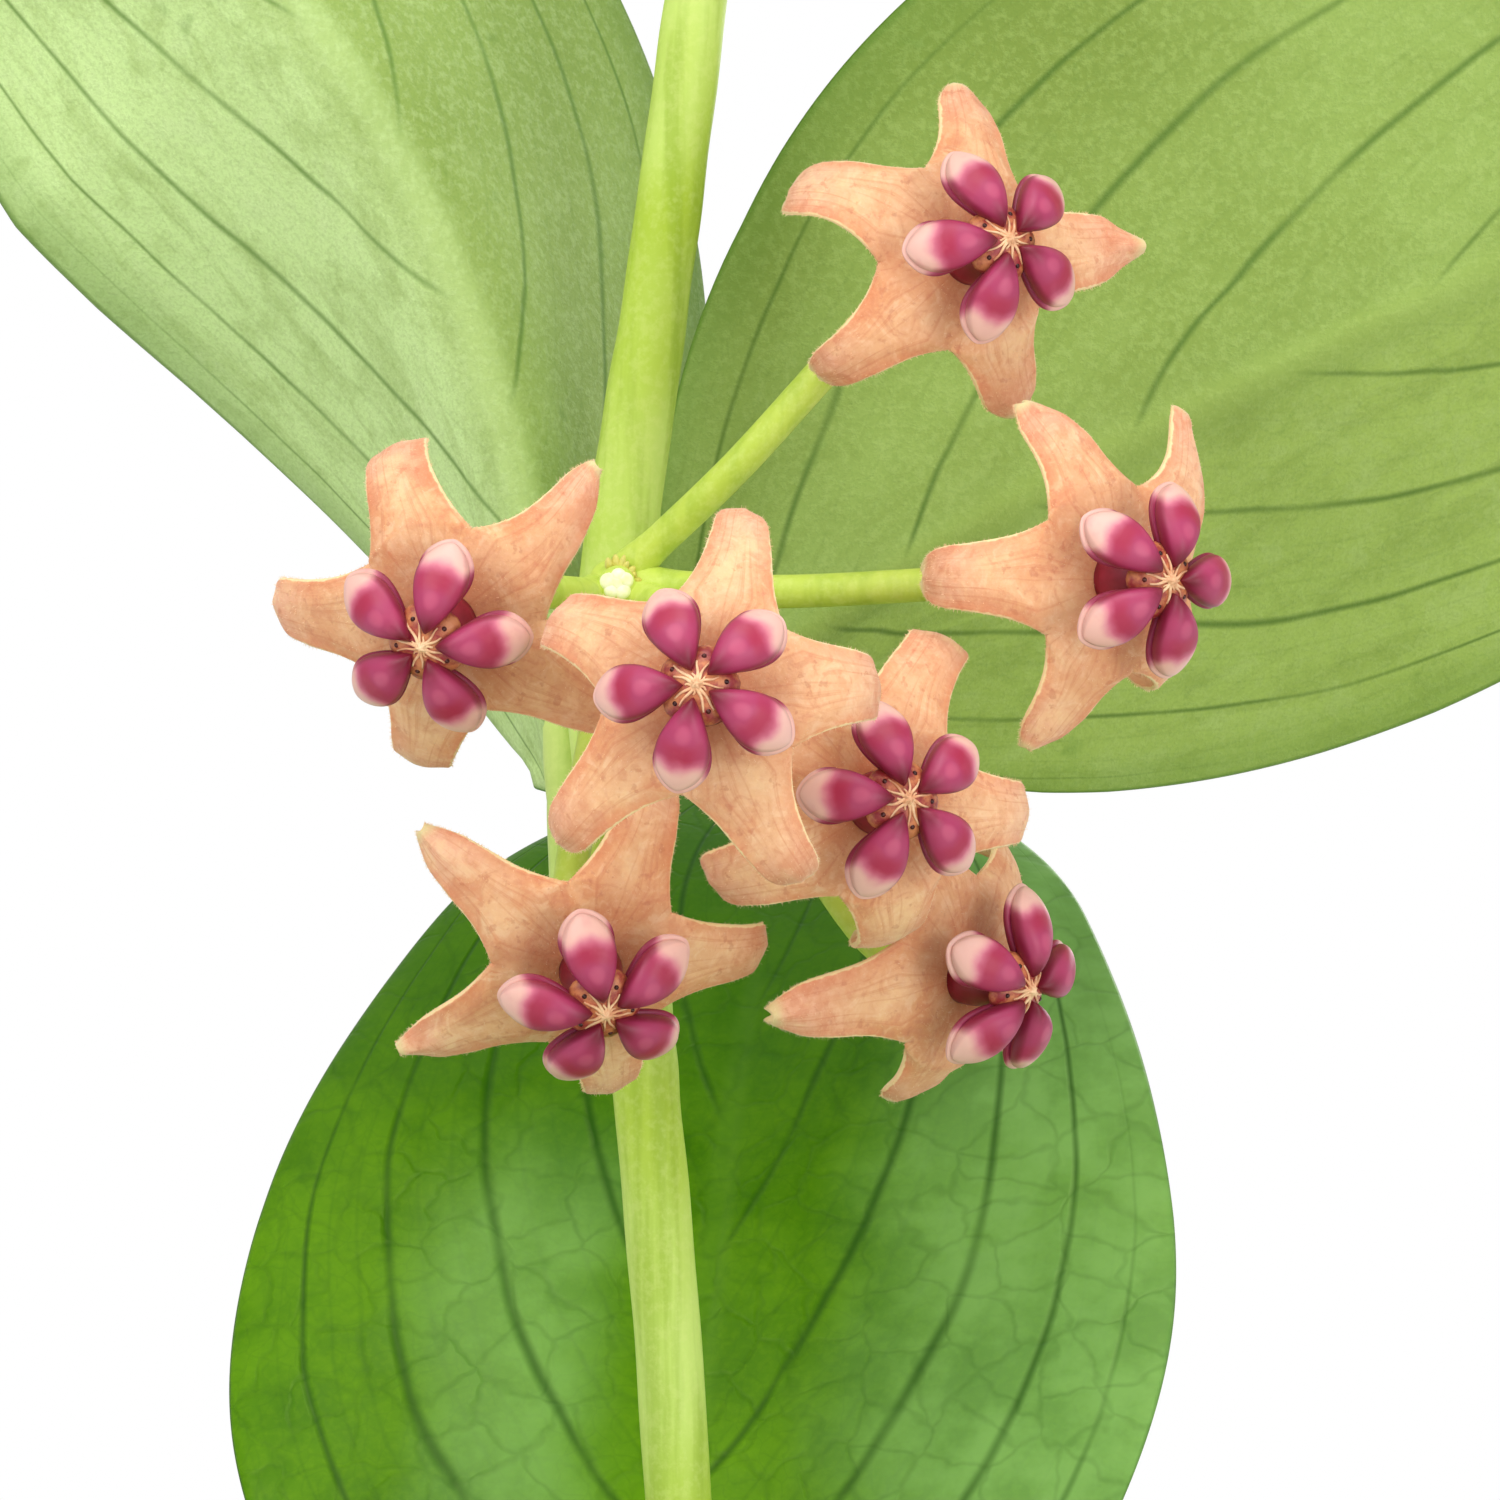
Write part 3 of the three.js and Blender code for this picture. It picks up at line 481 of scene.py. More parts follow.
def make_vein_group():
    """Masks of the side veins, their net and the midrib, from a blade's two maps."""
    tree, n, given, out = new_group(
        "leaf veins",
        {"Whole map": None, "Fine map": None, "Vein count": 8.0, "Vein width": 0.05,
         "Net width": 0.06},
        ("Veins", "Side veins", "Net", "Fine net", "Midrib", "Margin"),
    )
    x, y, _ = n.split(given["Whole map"])
    across = n.minus(n.times(x, 2.0), 1.0)
    away = n.math("ABSOLUTE", across)

    # the number that is whole on a vein; the veins of the two halves alternate
    wander = n.times(n.minus(n.noise(given["Whole map"], 2.6, 3.0), 0.5), 0.06)
    climb = n.times(away, n.plus(y, 0.08))
    level = n.minus(n.plus(y, wander), climb)
    level = n.math("POWER", n.math("MAXIMUM", n.plus(level, 0.1), 0.0), 0.5)
    side = n.times(n.math("GREATER_THAN", across, 0.0), 0.45)
    count = n.plus(n.times(level, given["Vein count"]), side)

    # a line at each whole number, and a thinner one at each third
    slim = n.math("MINIMUM", n.plus(0.45, n.times(away, 0.9)),
                  n.minus(1.25, n.times(away, 0.6)))
    fade = n.times(n.fall(away, 0.84, 0.98), n.between(away, 0.0, 0.07))
    uneven = n.between(n.noise(given["Fine map"], 1.1, 2.0), 0.25, 0.6, 0.5, 1.0)
    for label, times, share in (("Veins", 1.0, 1.0), ("Side veins", 3.0, 0.5)):
        spot = n.math("FRACT", n.plus(n.times(count, times), 0.5))
        nearest = n.math("DIVIDE", n.math("ABSOLUTE", n.minus(spot, 0.5)), times)
        width = n.times(n.times(given["Vein width"], share), slim)
        line = n.times(n.fall(nearest, 0.0, width), fade)
        n.put(n.times(line, uneven), out[label])

    # the net: edges of cells, bent by moving the map about a little
    push = n.add("ShaderNodeVectorMath", operation="SCALE")
    n.put(n.noise(given["Fine map"], 3.5, 2.0, out="Color"), push.inputs[0])
    push.inputs["Scale"].default_value = 0.3
    moved = n.add("ShaderNodeVectorMath", operation="ADD")
    n.put(given["Fine map"], moved.inputs[0])
    n.put(push.outputs[0], moved.inputs[1])
    for scale, label in ((3.0, "Net"), (7.5, "Fine net")):
        cells = n.add("ShaderNodeTexVoronoi", feature="DISTANCE_TO_EDGE",
                      voronoi_dimensions="2D")
        n.fill(cells.inputs, {"Vector": moved.outputs[0], "Scale": scale})
        n.put(n.fall(cells.outputs["Distance"], 0.0, given["Net width"]), out[label])

    rib_width = n.plus(0.012, n.times(n.minus(1.0, y), 0.03))
    n.put(n.fall(away, n.times(rib_width, 0.4), n.times(rib_width, 1.8)), out["Midrib"])
    rim = n.times(n.between(away, 0.8, 0.97), 0.4)
    n.put(n.math("MAXIMUM", rim, n.between(away, 0.972, 0.995)), out["Margin"])
    return tree


def make_skin_group():
    """Mottling of plant skin: a slow change of tone, small soft spots and fine grain."""
    tree, n, given, out = new_group(
        "plant skin", {"Vector": None, "Patch scale": 60.0},
        ("Tone", "Spots", "Grain", "Marks"),
    )
    place = given["Vector"]
    n.put(n.between(n.noise(place, given["Patch scale"], 2.0), 0.32, 0.68), out["Tone"])
    n.put(n.between(n.noise(place, 2100, 4.0, 0.65), 0.42, 0.68), out["Spots"])
    n.put(n.noise(place, 5200, 2.0, 0.6), out["Grain"])
    n.put(n.between(n.noise(place, 260, 3.0, 0.6), 0.66, 0.76), out["Marks"])
    return tree


VEINS = make_vein_group()
SKIN = make_skin_group()
print("node groups:", VEINS.name, "and", SKIN.name)

# %% [markdown]
# ### Leaf finishes
# The upper face is deep green, waxy and smooth, with a dark net under the wax. The
# underside is paler, matt and finely speckled, with dark thin veins. Each finish is one
# base colour with thin coats over it, and each coat shows where its mask is bright.

# %% Leaf materials


def vein_masks(n, vein_width, net_width):
    """The vein group, fed with the blade's own maps."""
    return n.group(VEINS, {"Whole map": n.map("whole"), "Fine map": n.map("fine"),
                           "Vein width": vein_width, "Net width": net_width})


def leaf_under(name, pale, deep, vein, glow, side, speck=srgb(204, 226, 158)):
    """Underside: pale green like felt, washed with long strokes and patches, dark thin side
    veins and a lighter midrib in the colour glow. The half on the given side, -1 or 1, gets
    painted light: it is lifted towards glow, as if the lamps lit it more."""
    material, n, shader = new_material(name)
    masks = vein_masks(n, 0.07, 0.06)
    skin = n.group(SKIN, {"Vector": n.place(), "Patch scale": 46.0})
    across, _, _ = n.split(n.map("whole"))
    # painted light on one half: the mask of the half on the given side
    half = n.between(n.times(n.minus(across, 0.5), side), -0.02, 0.07)
    stroke = n.noise(n.stretch(n.map("whole"), (20, 9, 1)), 1.0, 5.0, 0.64, 0.6)
    patch = n.noise(n.place(), 360, 5.0, 0.66)
    base = n.coats(
        n.mix(skin["Tone"], deep, pale),
        # painted light: that half lifted towards glow
        (half, n.plus(0.7, n.times(skin["Tone"], 0.3)), glow),
        (n.between(stroke, 0.46, 0.66), 0.38, deep),
        (n.between(patch, 0.5, 0.66), 0.3, deep),
        # pale specks, more of them on the half with painted light
        (n.fall(patch, 0.34, 0.47), n.plus(0.12, n.times(half, 0.3)), speck),
        (skin["Spots"], 0.3, speck),
        (n.between(skin["Grain"], 0.4, 0.7), 0.18, srgb(104, 140, 58)),
        (skin["Marks"], 0.3, srgb(96, 136, 52)),
        (masks["Fine net"], 0.06, vein),
        (masks["Side veins"], 0.1, vein),
        (masks["Midrib"], 0.25, glow),
        (masks["Veins"], 0.78, vein),
        (masks["Margin"], 0.75, srgb(92, 130, 38)),
    )
    height = n.weighted((skin["Spots"], 0.4), (skin["Grain"], 0.3), (masks["Veins"], -0.25))
    n.fill(shader, {
        "Base Color": base,
        "Roughness": n.plus(0.5, n.times(skin["Grain"], 0.16)),
        "Specular IOR Level": 0.3,
        "Normal": n.bump(height, 0.1),
    })
    return material


def leaf_upper(name, light, deep, vein):
    """Upper face: saturated waxy green, cloudy, with painted shade that darkens it towards
    the tip, and long dark veins and their faint net. Painted sheen: a wandering pale stripe
    lies beside the midrib and one along the other margin, in place of the lamps' reflection."""
    material, n, shader = new_material(name)
    masks = vein_masks(n, 0.1, 0.09)
    skin = n.group(SKIN, {"Vector": n.place(), "Patch scale": 52.0})
    cloud = n.between(n.noise(n.place(), 240, 4.0, 0.6), 0.36, 0.66)
    patch = n.noise(n.place(), 420, 4.0, 0.62)
    x, y, _ = n.split(n.map("whole"))
    # painted sheen: a pale wandering stripe beside the midrib and one along the other margin stand
    # in for the lamps' reflection on the wax
    drift = n.times(n.minus(n.noise(n.place(), 55, 3.0, 0.55), 0.5), 0.5)
    across = n.plus(n.minus(n.times(x, 2.0), 1.0), drift)
    painted_sheen_band = n.times(n.between(across, 0.08, 0.3), n.fall(across, 0.4, 0.66))
    painted_sheen_band = n.times(painted_sheen_band, n.between(y, 0.48, 0.62, 0.75, 0.0))
    bloom_and_painted_sheen = n.math("MAXIMUM", painted_sheen_band, n.fall(across, -0.66, -0.26))
    base = n.coats(
        n.mix(skin["Tone"], deep, light),
        (cloud, 0.45, srgb(100, 150, 4)),
        (n.between(patch, 0.5, 0.64), 0.3, deep),
        (skin["Spots"], 0.16, srgb(116, 162, 16)),
        (masks["Fine net"], 0.12, vein),
        (masks["Side veins"], 0.16, vein),
        (masks["Midrib"], 0.3, srgb(92, 138, 40)),
        # painted shade: darker towards the tip, as in the umbel's shadow
        (n.between(y, 0.45, 0.8), 0.55, srgb(44, 96, 1)),
        # painted sheen, in place of the lamps' reflection
        (bloom_and_painted_sheen, n.plus(0.44, n.times(cloud, 0.22)), srgb(140, 186, 104)),
        (masks["Net"], 0.17, vein),
        (masks["Veins"], 0.7, vein),
    )
    height = n.weighted((cloud, 0.5), (masks["Veins"], -0.8), (masks["Net"], -0.3))
    n.fill(shader, {
        "Base Color": base,
        "Roughness": n.plus(0.28, n.times(cloud, 0.14)),
        "Specular IOR Level": 0.24,
        "Specular Tint": (0.8, 1.0, 0.35, 1),
        "Normal": n.bump(height, 0.12),
    })
    return material


LEAF_UPPER = leaf_upper("leaf_wax_upper", srgb(86, 136, 1), srgb(60, 110, 1), srgb(26, 74, 10))
# glow is the colour of the painted light and of the midrib; side, -1 or 1, is the half that the
# painted light lifts
LEAF_UNDER = leaf_under("leaf_pale_under", srgb(164, 188, 102), srgb(144, 168, 82),
                        srgb(98, 134, 52), srgb(206, 232, 156), -1)
LEAF_OLIVE = leaf_under("leaf_olive_under", srgb(146, 171, 82), srgb(128, 151, 62),
                        srgb(78, 112, 30), srgb(165, 189, 89), 1, srgb(172, 194, 110))
YOUNG_UPPER = leaf_upper("young_leaf_upper", srgb(148, 150, 60), srgb(120, 104, 44),
                         srgb(88, 62, 30))
YOUNG_UNDER = leaf_under("young_leaf_under", srgb(190, 200, 110), srgb(170, 160, 84),
                         srgb(130, 110, 60), srgb(190, 200, 110), 1)

# %% [markdown]
# ### Stem skin
# Young stems are smooth and round, with faint streaks along them. The stems of the plant
# mostly run upwards, so noise that is drawn out along the height gives those streaks, and
# no map has to be unrolled for it.

# %% Stem materials


def green_stem(name, pale, deep, streak):
    """Stem skin: yellow-green, streaked lengthwise, with small paler pores."""
    material, n, shader = new_material(name)
    skin = n.group(SKIN, {"Vector": n.place(), "Patch scale": 70.0})
    lengthwise = n.noise(n.stretch(n.place(), (1, 1, 0.06)), 840, 3.0, 0.55)
    base = n.coats(
        n.mix(skin["Tone"], deep, pale),
        (n.between(lengthwise, 0.42, 0.68), 0.6, streak),
        (skin["Spots"], 0.2, srgb(230, 240, 150)),
    )
    n.fill(shader, {
        "Base Color": base,
        "Roughness": 0.45,
        "Specular IOR Level": 0.26,
        "Normal": n.bump(n.weighted((lengthwise, 0.7), (skin["Grain"], 0.3)), 0.1),
    })
    return material


VINE_SKIN = green_stem("vine_skin", srgb(212, 235, 126), srgb(178, 205, 60), srgb(150, 180, 44))
PETIOLE_SKIN = green_stem("petiole_skin", srgb(204, 222, 126), srgb(182, 208, 96),
                          srgb(168, 198, 86))
STALK_SKIN = green_stem("stalk_skin", srgb(202, 221, 92), srgb(182, 205, 72), srgb(166, 194, 64))
print("leaf and stem materials ready")

# %% [markdown]
# ## Leaves
# A blade is a middle surface that is thickened to both sides. Across, each half runs out
# from the midrib at its own fold angle, with a soft bend at the midrib itself. Along, the
# midrib leans over further and further. The petiole is a tube that runs on into the
# raised midrib on the underside.

# %% The leaves' sizes and places
LEAF_LENGTH = 84
LEAF_HALF_WIDTH = 23
PETIOLE_RADIUS = 1.15
PETIOLE_LENGTH = 9
NODE_SWELLING = 0.3
STEM_CLEARANCE = 0.35

MAIN_VINE = [
    ((3, 2, 71), 2.1), ((3, 2, 88), 2.1), ((1, 1, 118), 2.0), ((1, 0, 155), 1.75),
    ((0.4, 0, 184.5), 1.65), ((-1.1, 0, 204), 1.7), ((-2.0, 0, 212.3), 1.75),
    ((-3.2, 0, 223.5), 1.85), ((-2.6, 0, 231.5), 1.85), ((-0.7, 0, 244.5), 1.7),
    ((1.3, 0, 259.5), 1.55), ((2.6, 0, 270), 1.5), ((5, 0.5, 300), 1.2), ((5.6, 0.6, 309), 0.7),
]
LEFT_VINE = [
    ((-22, 12, 71), 1.9), ((-22, 12, 88), 1.9), ((-27, 18, 108), 1.8),
    ((-39, 28, 130), 1.6), ((-52, 35, 147), 1.3), ((-57, 38, 156), 0.8),
]
RIGHT_VINE = [
    ((20, -16, 71), 1.9), ((20, -16, 88), 1.9), ((27, -24, 104), 1.8), ((44, -38, 118), 1.6),
    ((58, -46, 118), 1.5), ((70, -51, 108), 1.2), ((74, -53, 101), 0.8),
]
VINES = {"vine_main": MAIN_VINE, "vine_left": LEFT_VINE, "vine_right": RIGHT_VINE}
VINE_JOINTS = {"vine_main": (2, 3, 6, 11, 12), "vine_left": (2, 3, 4), "vine_right": (2, 4, 5)}

SHOWN_LEAVES = [
    dict(name="leaf_right_upper",
         petiole=[(-1.5, 3.3, 211.8), (-1.5, 3.9, 215.5), (-0.7, 3.9, 220), (0.7, 3.9, 223.2)],
         length=92, half_width=24.8, heading=3, lean=[51, 61, 64.5, 64.5, 65, 68, 72], twist=-90,
         fold_left=[30, 14, 2, 0, 0, 4], fold_right=[46, 40, 37, 36, 34, 32], rows=14,
         left_share=1.08),
    dict(name="leaf_left_upper",
         petiole=[(-4.5, 2.0, 212.0), (-4.95, 2.6, 215.2), (-4.95, 2.6, 219.5)],
         length=88, half_width=22, heading=178, lean=[8, 13, 23, 35, 40, 47, 54, 58], twist=90,
         fold_left=[64, 60, 46, 31, 27, 26, 26], fold_right=[62, 61, 56, 50, 44, 39, 34], rows=14),
    dict(name="leaf_back_middle",
         petiole=[(0.95, 2.6, 154.6), (0.4, 5.2, 156.2), (0.0, 6.6, 159.5), (-0.6, 7.4, 162.4)],
         length=76.5, half_width=25.4, heading=80, lean=[16, 24, 31, 35, 40, 48, 60, 68], twist=0,
         fold_left=[24, 12, 8, 8, 8], fold_right=[24, 12, 8, 8, 8], rows=14),
]

# name, vine, joint, heading, size and lean of the leaves of ordinary shape
PLAIN_LEAVES = [
    ("leaf_front_middle", MAIN_VINE, 3, -96, 0.95, [62, 78, 100, 112]),
    ("leaf_left_lower", MAIN_VINE, 2, 205, 1.0, [52, 68, 88, 104]),
    ("leaf_right_lower", MAIN_VINE, 2, 22, 1.02, [48, 66, 84, 100]),
    ("leaf_front_top", MAIN_VINE, 11, -88, 0.66, [30, 42, 58, 72]),
    ("leaf_back_top", MAIN_VINE, 11, 84, 0.7, [26, 40, 56, 70]),
    ("leaf_left_young", MAIN_VINE, 12, 180, 0.32, [24, 30, 40, 52]),
    ("leaf_right_young", MAIN_VINE, 12, 8, 0.34, [30, 34, 46, 58]),
    ("left_vine_leaf_1", LEFT_VINE, 2, 215, 0.86, [60, 80, 98, 108]),
    ("left_vine_leaf_2", LEFT_VINE, 2, 48, 0.84, [50, 66, 84, 98]),
    ("left_vine_leaf_3", LEFT_VINE, 3, 160, 0.8, [56, 70, 90, 104]),
    ("left_vine_leaf_4", LEFT_VINE, 3, 88, 0.78, [44, 60, 82, 98]),
    ("left_vine_leaf_5", LEFT_VINE, 4, 230, 0.5, [36, 50, 66, 78]),
    ("left_vine_leaf_6", LEFT_VINE, 4, 60, 0.46, [34, 46, 60, 76]),
    ("right_vine_leaf_1", RIGHT_VINE, 2, 2, 0.8, [70, 80, 94, 108]),
    ("right_vine_leaf_2", RIGHT_VINE, 2, 245, 0.84, [52, 72, 92, 106]),
    ("right_vine_leaf_3", RIGHT_VINE, 4, 32, 0.7, [50, 66, 84, 98]),
    ("right_vine_leaf_4", RIGHT_VINE, 4, 262, 0.66, [62, 80, 98, 108]),
    ("right_vine_leaf_5", RIGHT_VINE, 5, 10, 0.42, [60, 74, 92, 104]),
]
print(len(SHOWN_LEAVES) + len(PLAIN_LEAVES), "leaves")

# %% A blade's outline and directions


def half_width_at(t, widest):
    """Half width along the blade: the widest part times the sine of t^0.78 half turns, to
    a power that falls from 0.92 to 0.42, and drawn in over the last fifth to a tip."""
    swell = np.sin(np.pi * np.clip(t, 0, 1) ** 0.78).clip(0)
    tip = np.clip((t - 0.78) / 0.22, 0, 1)
    return widest * swell ** (0.92 - 0.5 * t) * (1 - 0.45 * tip**2)


def leaf_directions(heading, lean, twist):
    """Unit vectors along the midrib, across the blade and out of its upper face."""
    h, a, w = np.radians(heading), np.radians(lean), math.radians(twist)
    along = np.stack([np.sin(a) * np.cos(h), np.sin(a) * np.sin(h), np.cos(a)], -1)
    level = np.array([-math.sin(h), math.cos(h), 0.0])
    upper = np.cross(along, level)
    across = level * math.cos(w) + upper * math.sin(w)
    return along, across, np.cross(along, across)


def midrib_path(leaf, t):
    """The midrib: equal steps that each follow the lean at their start, then smoothed."""
    starts = np.arange(leaf["rows"]) / leaf["rows"]
    along, _, _ = leaf_directions(leaf["heading"], ramp(leaf["lean"], starts), leaf["twist"])
    steps = along * leaf["length"] / leaf["rows"]
    corners = np.vstack([[0, 0, 0], np.cumsum(steps, 0)]) + leaf["petiole"][-1]
    return catmull_rom(corners, t)


# %% A blade's middle surface
FULL_FOLD_WIDTH = 4  # a blade narrower than this to each side is flatter than its fold
BEND_WIDTH = 0.09  # share of the half width over which the fold at the midrib is rounded
RIM_DROP = 0.06  # how far the rim hangs, as a share of the half width
SLOW_WAVE, QUICK_WAVE = 0.5, 0.35  # heights of the waves at the rim


def rim_waves(leaf, t, u, seed):
    """Waves along the blade that grow as u^2 and u^3 outwards and end at base and tip."""
    first, second = np.random.default_rng(seed).uniform(0, 6.28, 2)
    right = u > 0
    slow = SLOW_WAVE * leaf["scale"] * u**2 * np.sin(7 * np.pi * t + 1.3 * right)
    quick = np.sin(23 * t + first * right + second)
    quick = QUICK_WAVE * leaf["scale"] * np.abs(u) ** 3 * quick
    return (slow + quick) * np.sin(np.pi * t)


def blade_surface(leaf, t, u, seed):
    """Points of the middle surface. Across the blade the direction turns from minus the
    left fold to plus the right fold near the midrib, and the points are its running sum."""
    half = half_width_at(t, leaf["half_width"])
    opening = np.minimum(1, half / FULL_FOLD_WIDTH)
    left = np.radians(ramp(leaf["fold_left"], t) * opening)[:, None]
    right = np.radians(ramp(leaf["fold_right"], t) * opening)[:, None]
    share = 0.5 + 0.5 * np.tanh(u / BEND_WIDTH)
    angle = -left * (1 - share) + right * share
    out = np.cumsum(np.cos(angle) * np.gradient(u), 1)
    rise = np.cumsum(np.sin(angle) * np.gradient(u), 1)
    centre = len(u) // 2
    reach = half[:, None] * np.where(u < 0, leaf.get("left_share", 1), 1)
    out = (out - out[:, centre, None]) * reach
    rise = (rise - rise[:, centre, None]) * reach
    rise = rise - RIM_DROP * half[:, None] * u**4 + rim_waves(leaf, t[:, None], u, seed)
    _, across, upper = leaf_directions(leaf["heading"], ramp(leaf["lean"], t), leaf["twist"])
    middle = midrib_path(leaf, t)[:, None]
    return middle + out[..., None] * across[:, None] + rise[..., None] * upper[:, None]


# %% Build a blade
BLADE_THICKNESS = 1.0
ROUNDED_TIP = 1.2  # a blade narrower than this to each side gets thinner with its width
GROOVE_DEPTH, GROOVE_WIDTH = 0.28, 0.9
RIDGE_WIDTH = 0.95


def blade_grid(fine):
    """Steps t along the blade, and u across it from -1 to 1, closer at midrib and rim."""
    t = np.linspace(0, 1, int(150 * fine)) ** 0.92
    near = np.linspace(0, 0.4, int(12 * fine) + 2) ** 2
    far = np.linspace(0.2, 0.95, int(22 * fine))
    right = np.concatenate([near[1:], far, [0.97, 0.985, 0.994, 1.0]])
    return t, np.concatenate([-right[::-1], [0], right])


def blade_parts(leaf, seed):
    """Upper face and underside: the middle surface moved out along its normals by half
    the thickness, which closes at the rim as the root of 1 - u^10. A groove above and a
    ridge below follow the midrib, each a bell curve of the distance from it."""
    t, u = blade_grid(leaf["fine"])
    middle = blade_surface(leaf, t, u, seed)
    normal = normals(middle)
    normal[0], normal[-1] = normal[1], normal[-2]
    t = t[:, None]
    half = half_width_at(t, leaf["half_width"])
    inside = np.sqrt(np.clip(1 - np.abs(u) ** 10, 0, 1)) * np.minimum(1, half / ROUNDED_TIP)
    thick = 0.5 * BLADE_THICKNESS * leaf["scale"] ** 0.3 * (1 - 0.3 * np.abs(u)) * inside
    from_rib = u * half
    groove = GROOVE_DEPTH * np.exp(-((from_rib / GROOVE_WIDTH) ** 2)) * (1 - t)
    size = leaf["scale"] ** 0.5
    bell = np.exp(-np.abs(from_rib / (RIDGE_WIDTH * size)) ** 2.4)
    ridge = size * (0.1 + 0.4 * (1 - t) ** 1.6) * bell
    upper = middle + normal * (thick - groove * (thick > 0.3))[..., None]
    lower = middle - normal * (thick + ridge * inside)[..., None]
    whole = map_of((u + 1) / 2, t)
    fine = map_of(from_rib, t * leaf["length"]) + seed * 7.3  # no two leaves are alike
    return [grid_part(upper, whole, fine, 0), grid_part(lower, whole, fine, 1)]


# %% [markdown]
# ### Petiole
# A leaf's stalk runs on under the blade as its midrib. One tube along both is simplest: it
# flares where it leaves the vine, and dwindles where the blade's own ridge takes over.

# %% Build a petiole
RIDGE_START = 0.16  # share of the midrib along which the petiole runs on under the blade


def petiole_part(leaf):
    """The petiole, flared at both ends, runs on under the blade, where it dwindles into
    the raised midrib."""
    t = np.linspace(0.0, RIDGE_START, 24)
    _, _, out = leaf_directions(leaf["heading"], ramp(leaf["lean"], t), leaf["twist"])
    midrib = midrib_path(leaf, t)
    under = midrib - out * (0.12 * leaf["scale"] ** 0.5)
    sink = smoothstep(0, 0.06, t)[:, None]
    stem = catmull_rom(leaf["petiole"], np.linspace(0, 1, 26))[:-1]
    path = np.vstack([stem, midrib * (1 - sink) + under * sink])
    s = np.linspace(0, 1, len(stem))
    flare = 1 + 0.25 * np.exp(-8 * s) + 0.12 * smoothstep(0.6, 1, s)
    dwindle = 1 - 0.78 * smoothstep(0, RIDGE_START, t)
    dwindle = dwindle * (1 + 0.12 * (1 - smoothstep(0, 0.08, t)))
    radius = leaf["petiole_radius"] * np.concatenate([flare, dwindle])
    return tube_part(path, radius, 16, 2)


# %% Leaves of ordinary shape
YOUNG_SIZE = 0.4  # smaller leaves are still unfolding


def plain_leaf(name, vine, joint, heading, size, lean):
    """A leaf of ordinary shape whose petiole leaves a vine's joint sideways."""
    h = math.radians(heading)
    outwards = np.array([math.cos(h), math.sin(h), 0.0])
    places = np.array([p for p, _ in vine], float)
    run = unit(places[min(joint + 1, len(vine) - 1)] - places[joint - 1])
    away = unit(outwards - outwards.dot(run) * run)
    start = places[joint] + away * vine[joint][1] * 0.8
    surface = places[joint] + away * (vine[joint][1] * (1 + NODE_SWELLING) + STEM_CLEARANCE)
    reach = PETIOLE_LENGTH * max(size, 0.5)
    along, _, _ = leaf_directions(heading, np.array([lean[0]], float), 0)
    elbow = surface + away * reach * 0.35
    young = size < YOUNG_SIZE
    fold = [40, 30, 26] if young else [26, 14, 12, 14]
    return dict(
        name=name, petiole=[start, elbow, elbow + along[0] * reach * 0.65],
        length=LEAF_LENGTH * size, half_width=LEAF_HALF_WIDTH * size * (0.8 if young else 1),
        heading=heading, lean=lean, twist=0, fold_left=fold, fold_right=fold,
        rows=6 if young else 10, scale=size, young=young, fine=0.4 if young else 0.6,
        petiole_radius=PETIOLE_RADIUS * max(math.sqrt(size), 0.62),
    )


# %% Make all the leaves
OLIVE_LEAVES = ("leaf_right_upper", "leaf_right_lower", "leaf_front_middle")  # darker, duller undersides
leaves = [dict(leaf, scale=1.0, young=False, petiole_radius=PETIOLE_RADIUS, fine=1.0)
          for leaf in SHOWN_LEAVES]
leaves += [plain_leaf(*row) for row in PLAIN_LEAVES]
for number, leaf in enumerate(leaves):
    under = LEAF_OLIVE if leaf["name"] in OLIVE_LEAVES else LEAF_UNDER
    looks = (YOUNG_UPPER, YOUNG_UNDER) if leaf["young"] else (LEAF_UPPER, under)
    parts = [*blade_parts(leaf, number), petiole_part(leaf)]
    make_piece(leaf["name"] + "_blade", parts, [*looks, PETIOLE_SKIN], [leaf["name"]])
print("leaves made")

# %% [markdown]
# ## Vines
# A young vine is round, smooth and a little swollen where leaves and stalks leave it. Old
# petiole scars make faint rings there.

# %% Vines
SWELLING_LENGTH = 1.9  # distance from a joint over which its swelling runs out
SCAR_RING, SCAR_WIDTH = 2.6, 0.35  # the faint ring's distance from the joint, its width


def make_vine(name, points):
    """A tube along the vine's points, swollen at its joints, with slow unevenness."""
    places = [p for p, _ in points]
    t = np.linspace(0, 1, 44 * (len(points) - 1) + 1)
    path = catmull_rom(places, t)
    radius = ramp([r for _, r in points], t)
    joints = catmull_rom(places, np.array(VINE_JOINTS[name]) / (len(points) - 1))
    near = np.linalg.norm(path[:, None] - joints[None], axis=2).min(1)
    radius = radius * (1 + NODE_SWELLING * np.exp(-((near / SWELLING_LENGTH) ** 2)))
    radius = radius * (1 - 0.07 * np.exp(-(((near - SCAR_RING) / SCAR_WIDTH) ** 2)))
    radius = radius * (1 + 0.012 * np.sin(t * 61) + 0.01 * np.sin(t * 143))
    radius[-8:] *= np.sqrt(1 - np.linspace(0, 0.98, 8) ** 2)
    skin = tube_part(path, radius, 36, wobble=0.012)
    make_piece(name + "_skin", [skin], [VINE_SKIN], [name])


for name, points in VINES.items():
    make_vine(name, points)
print("vines made")

# %% [markdown]
# ## Flower finishes
# The petals are velvety apricot with a pale rolled edge. The corona is glossy crimson
# that turns to cream at the outer end of each lobe, and the column in the middle carries a
# cream star and dark dots.

# %% Flower materials


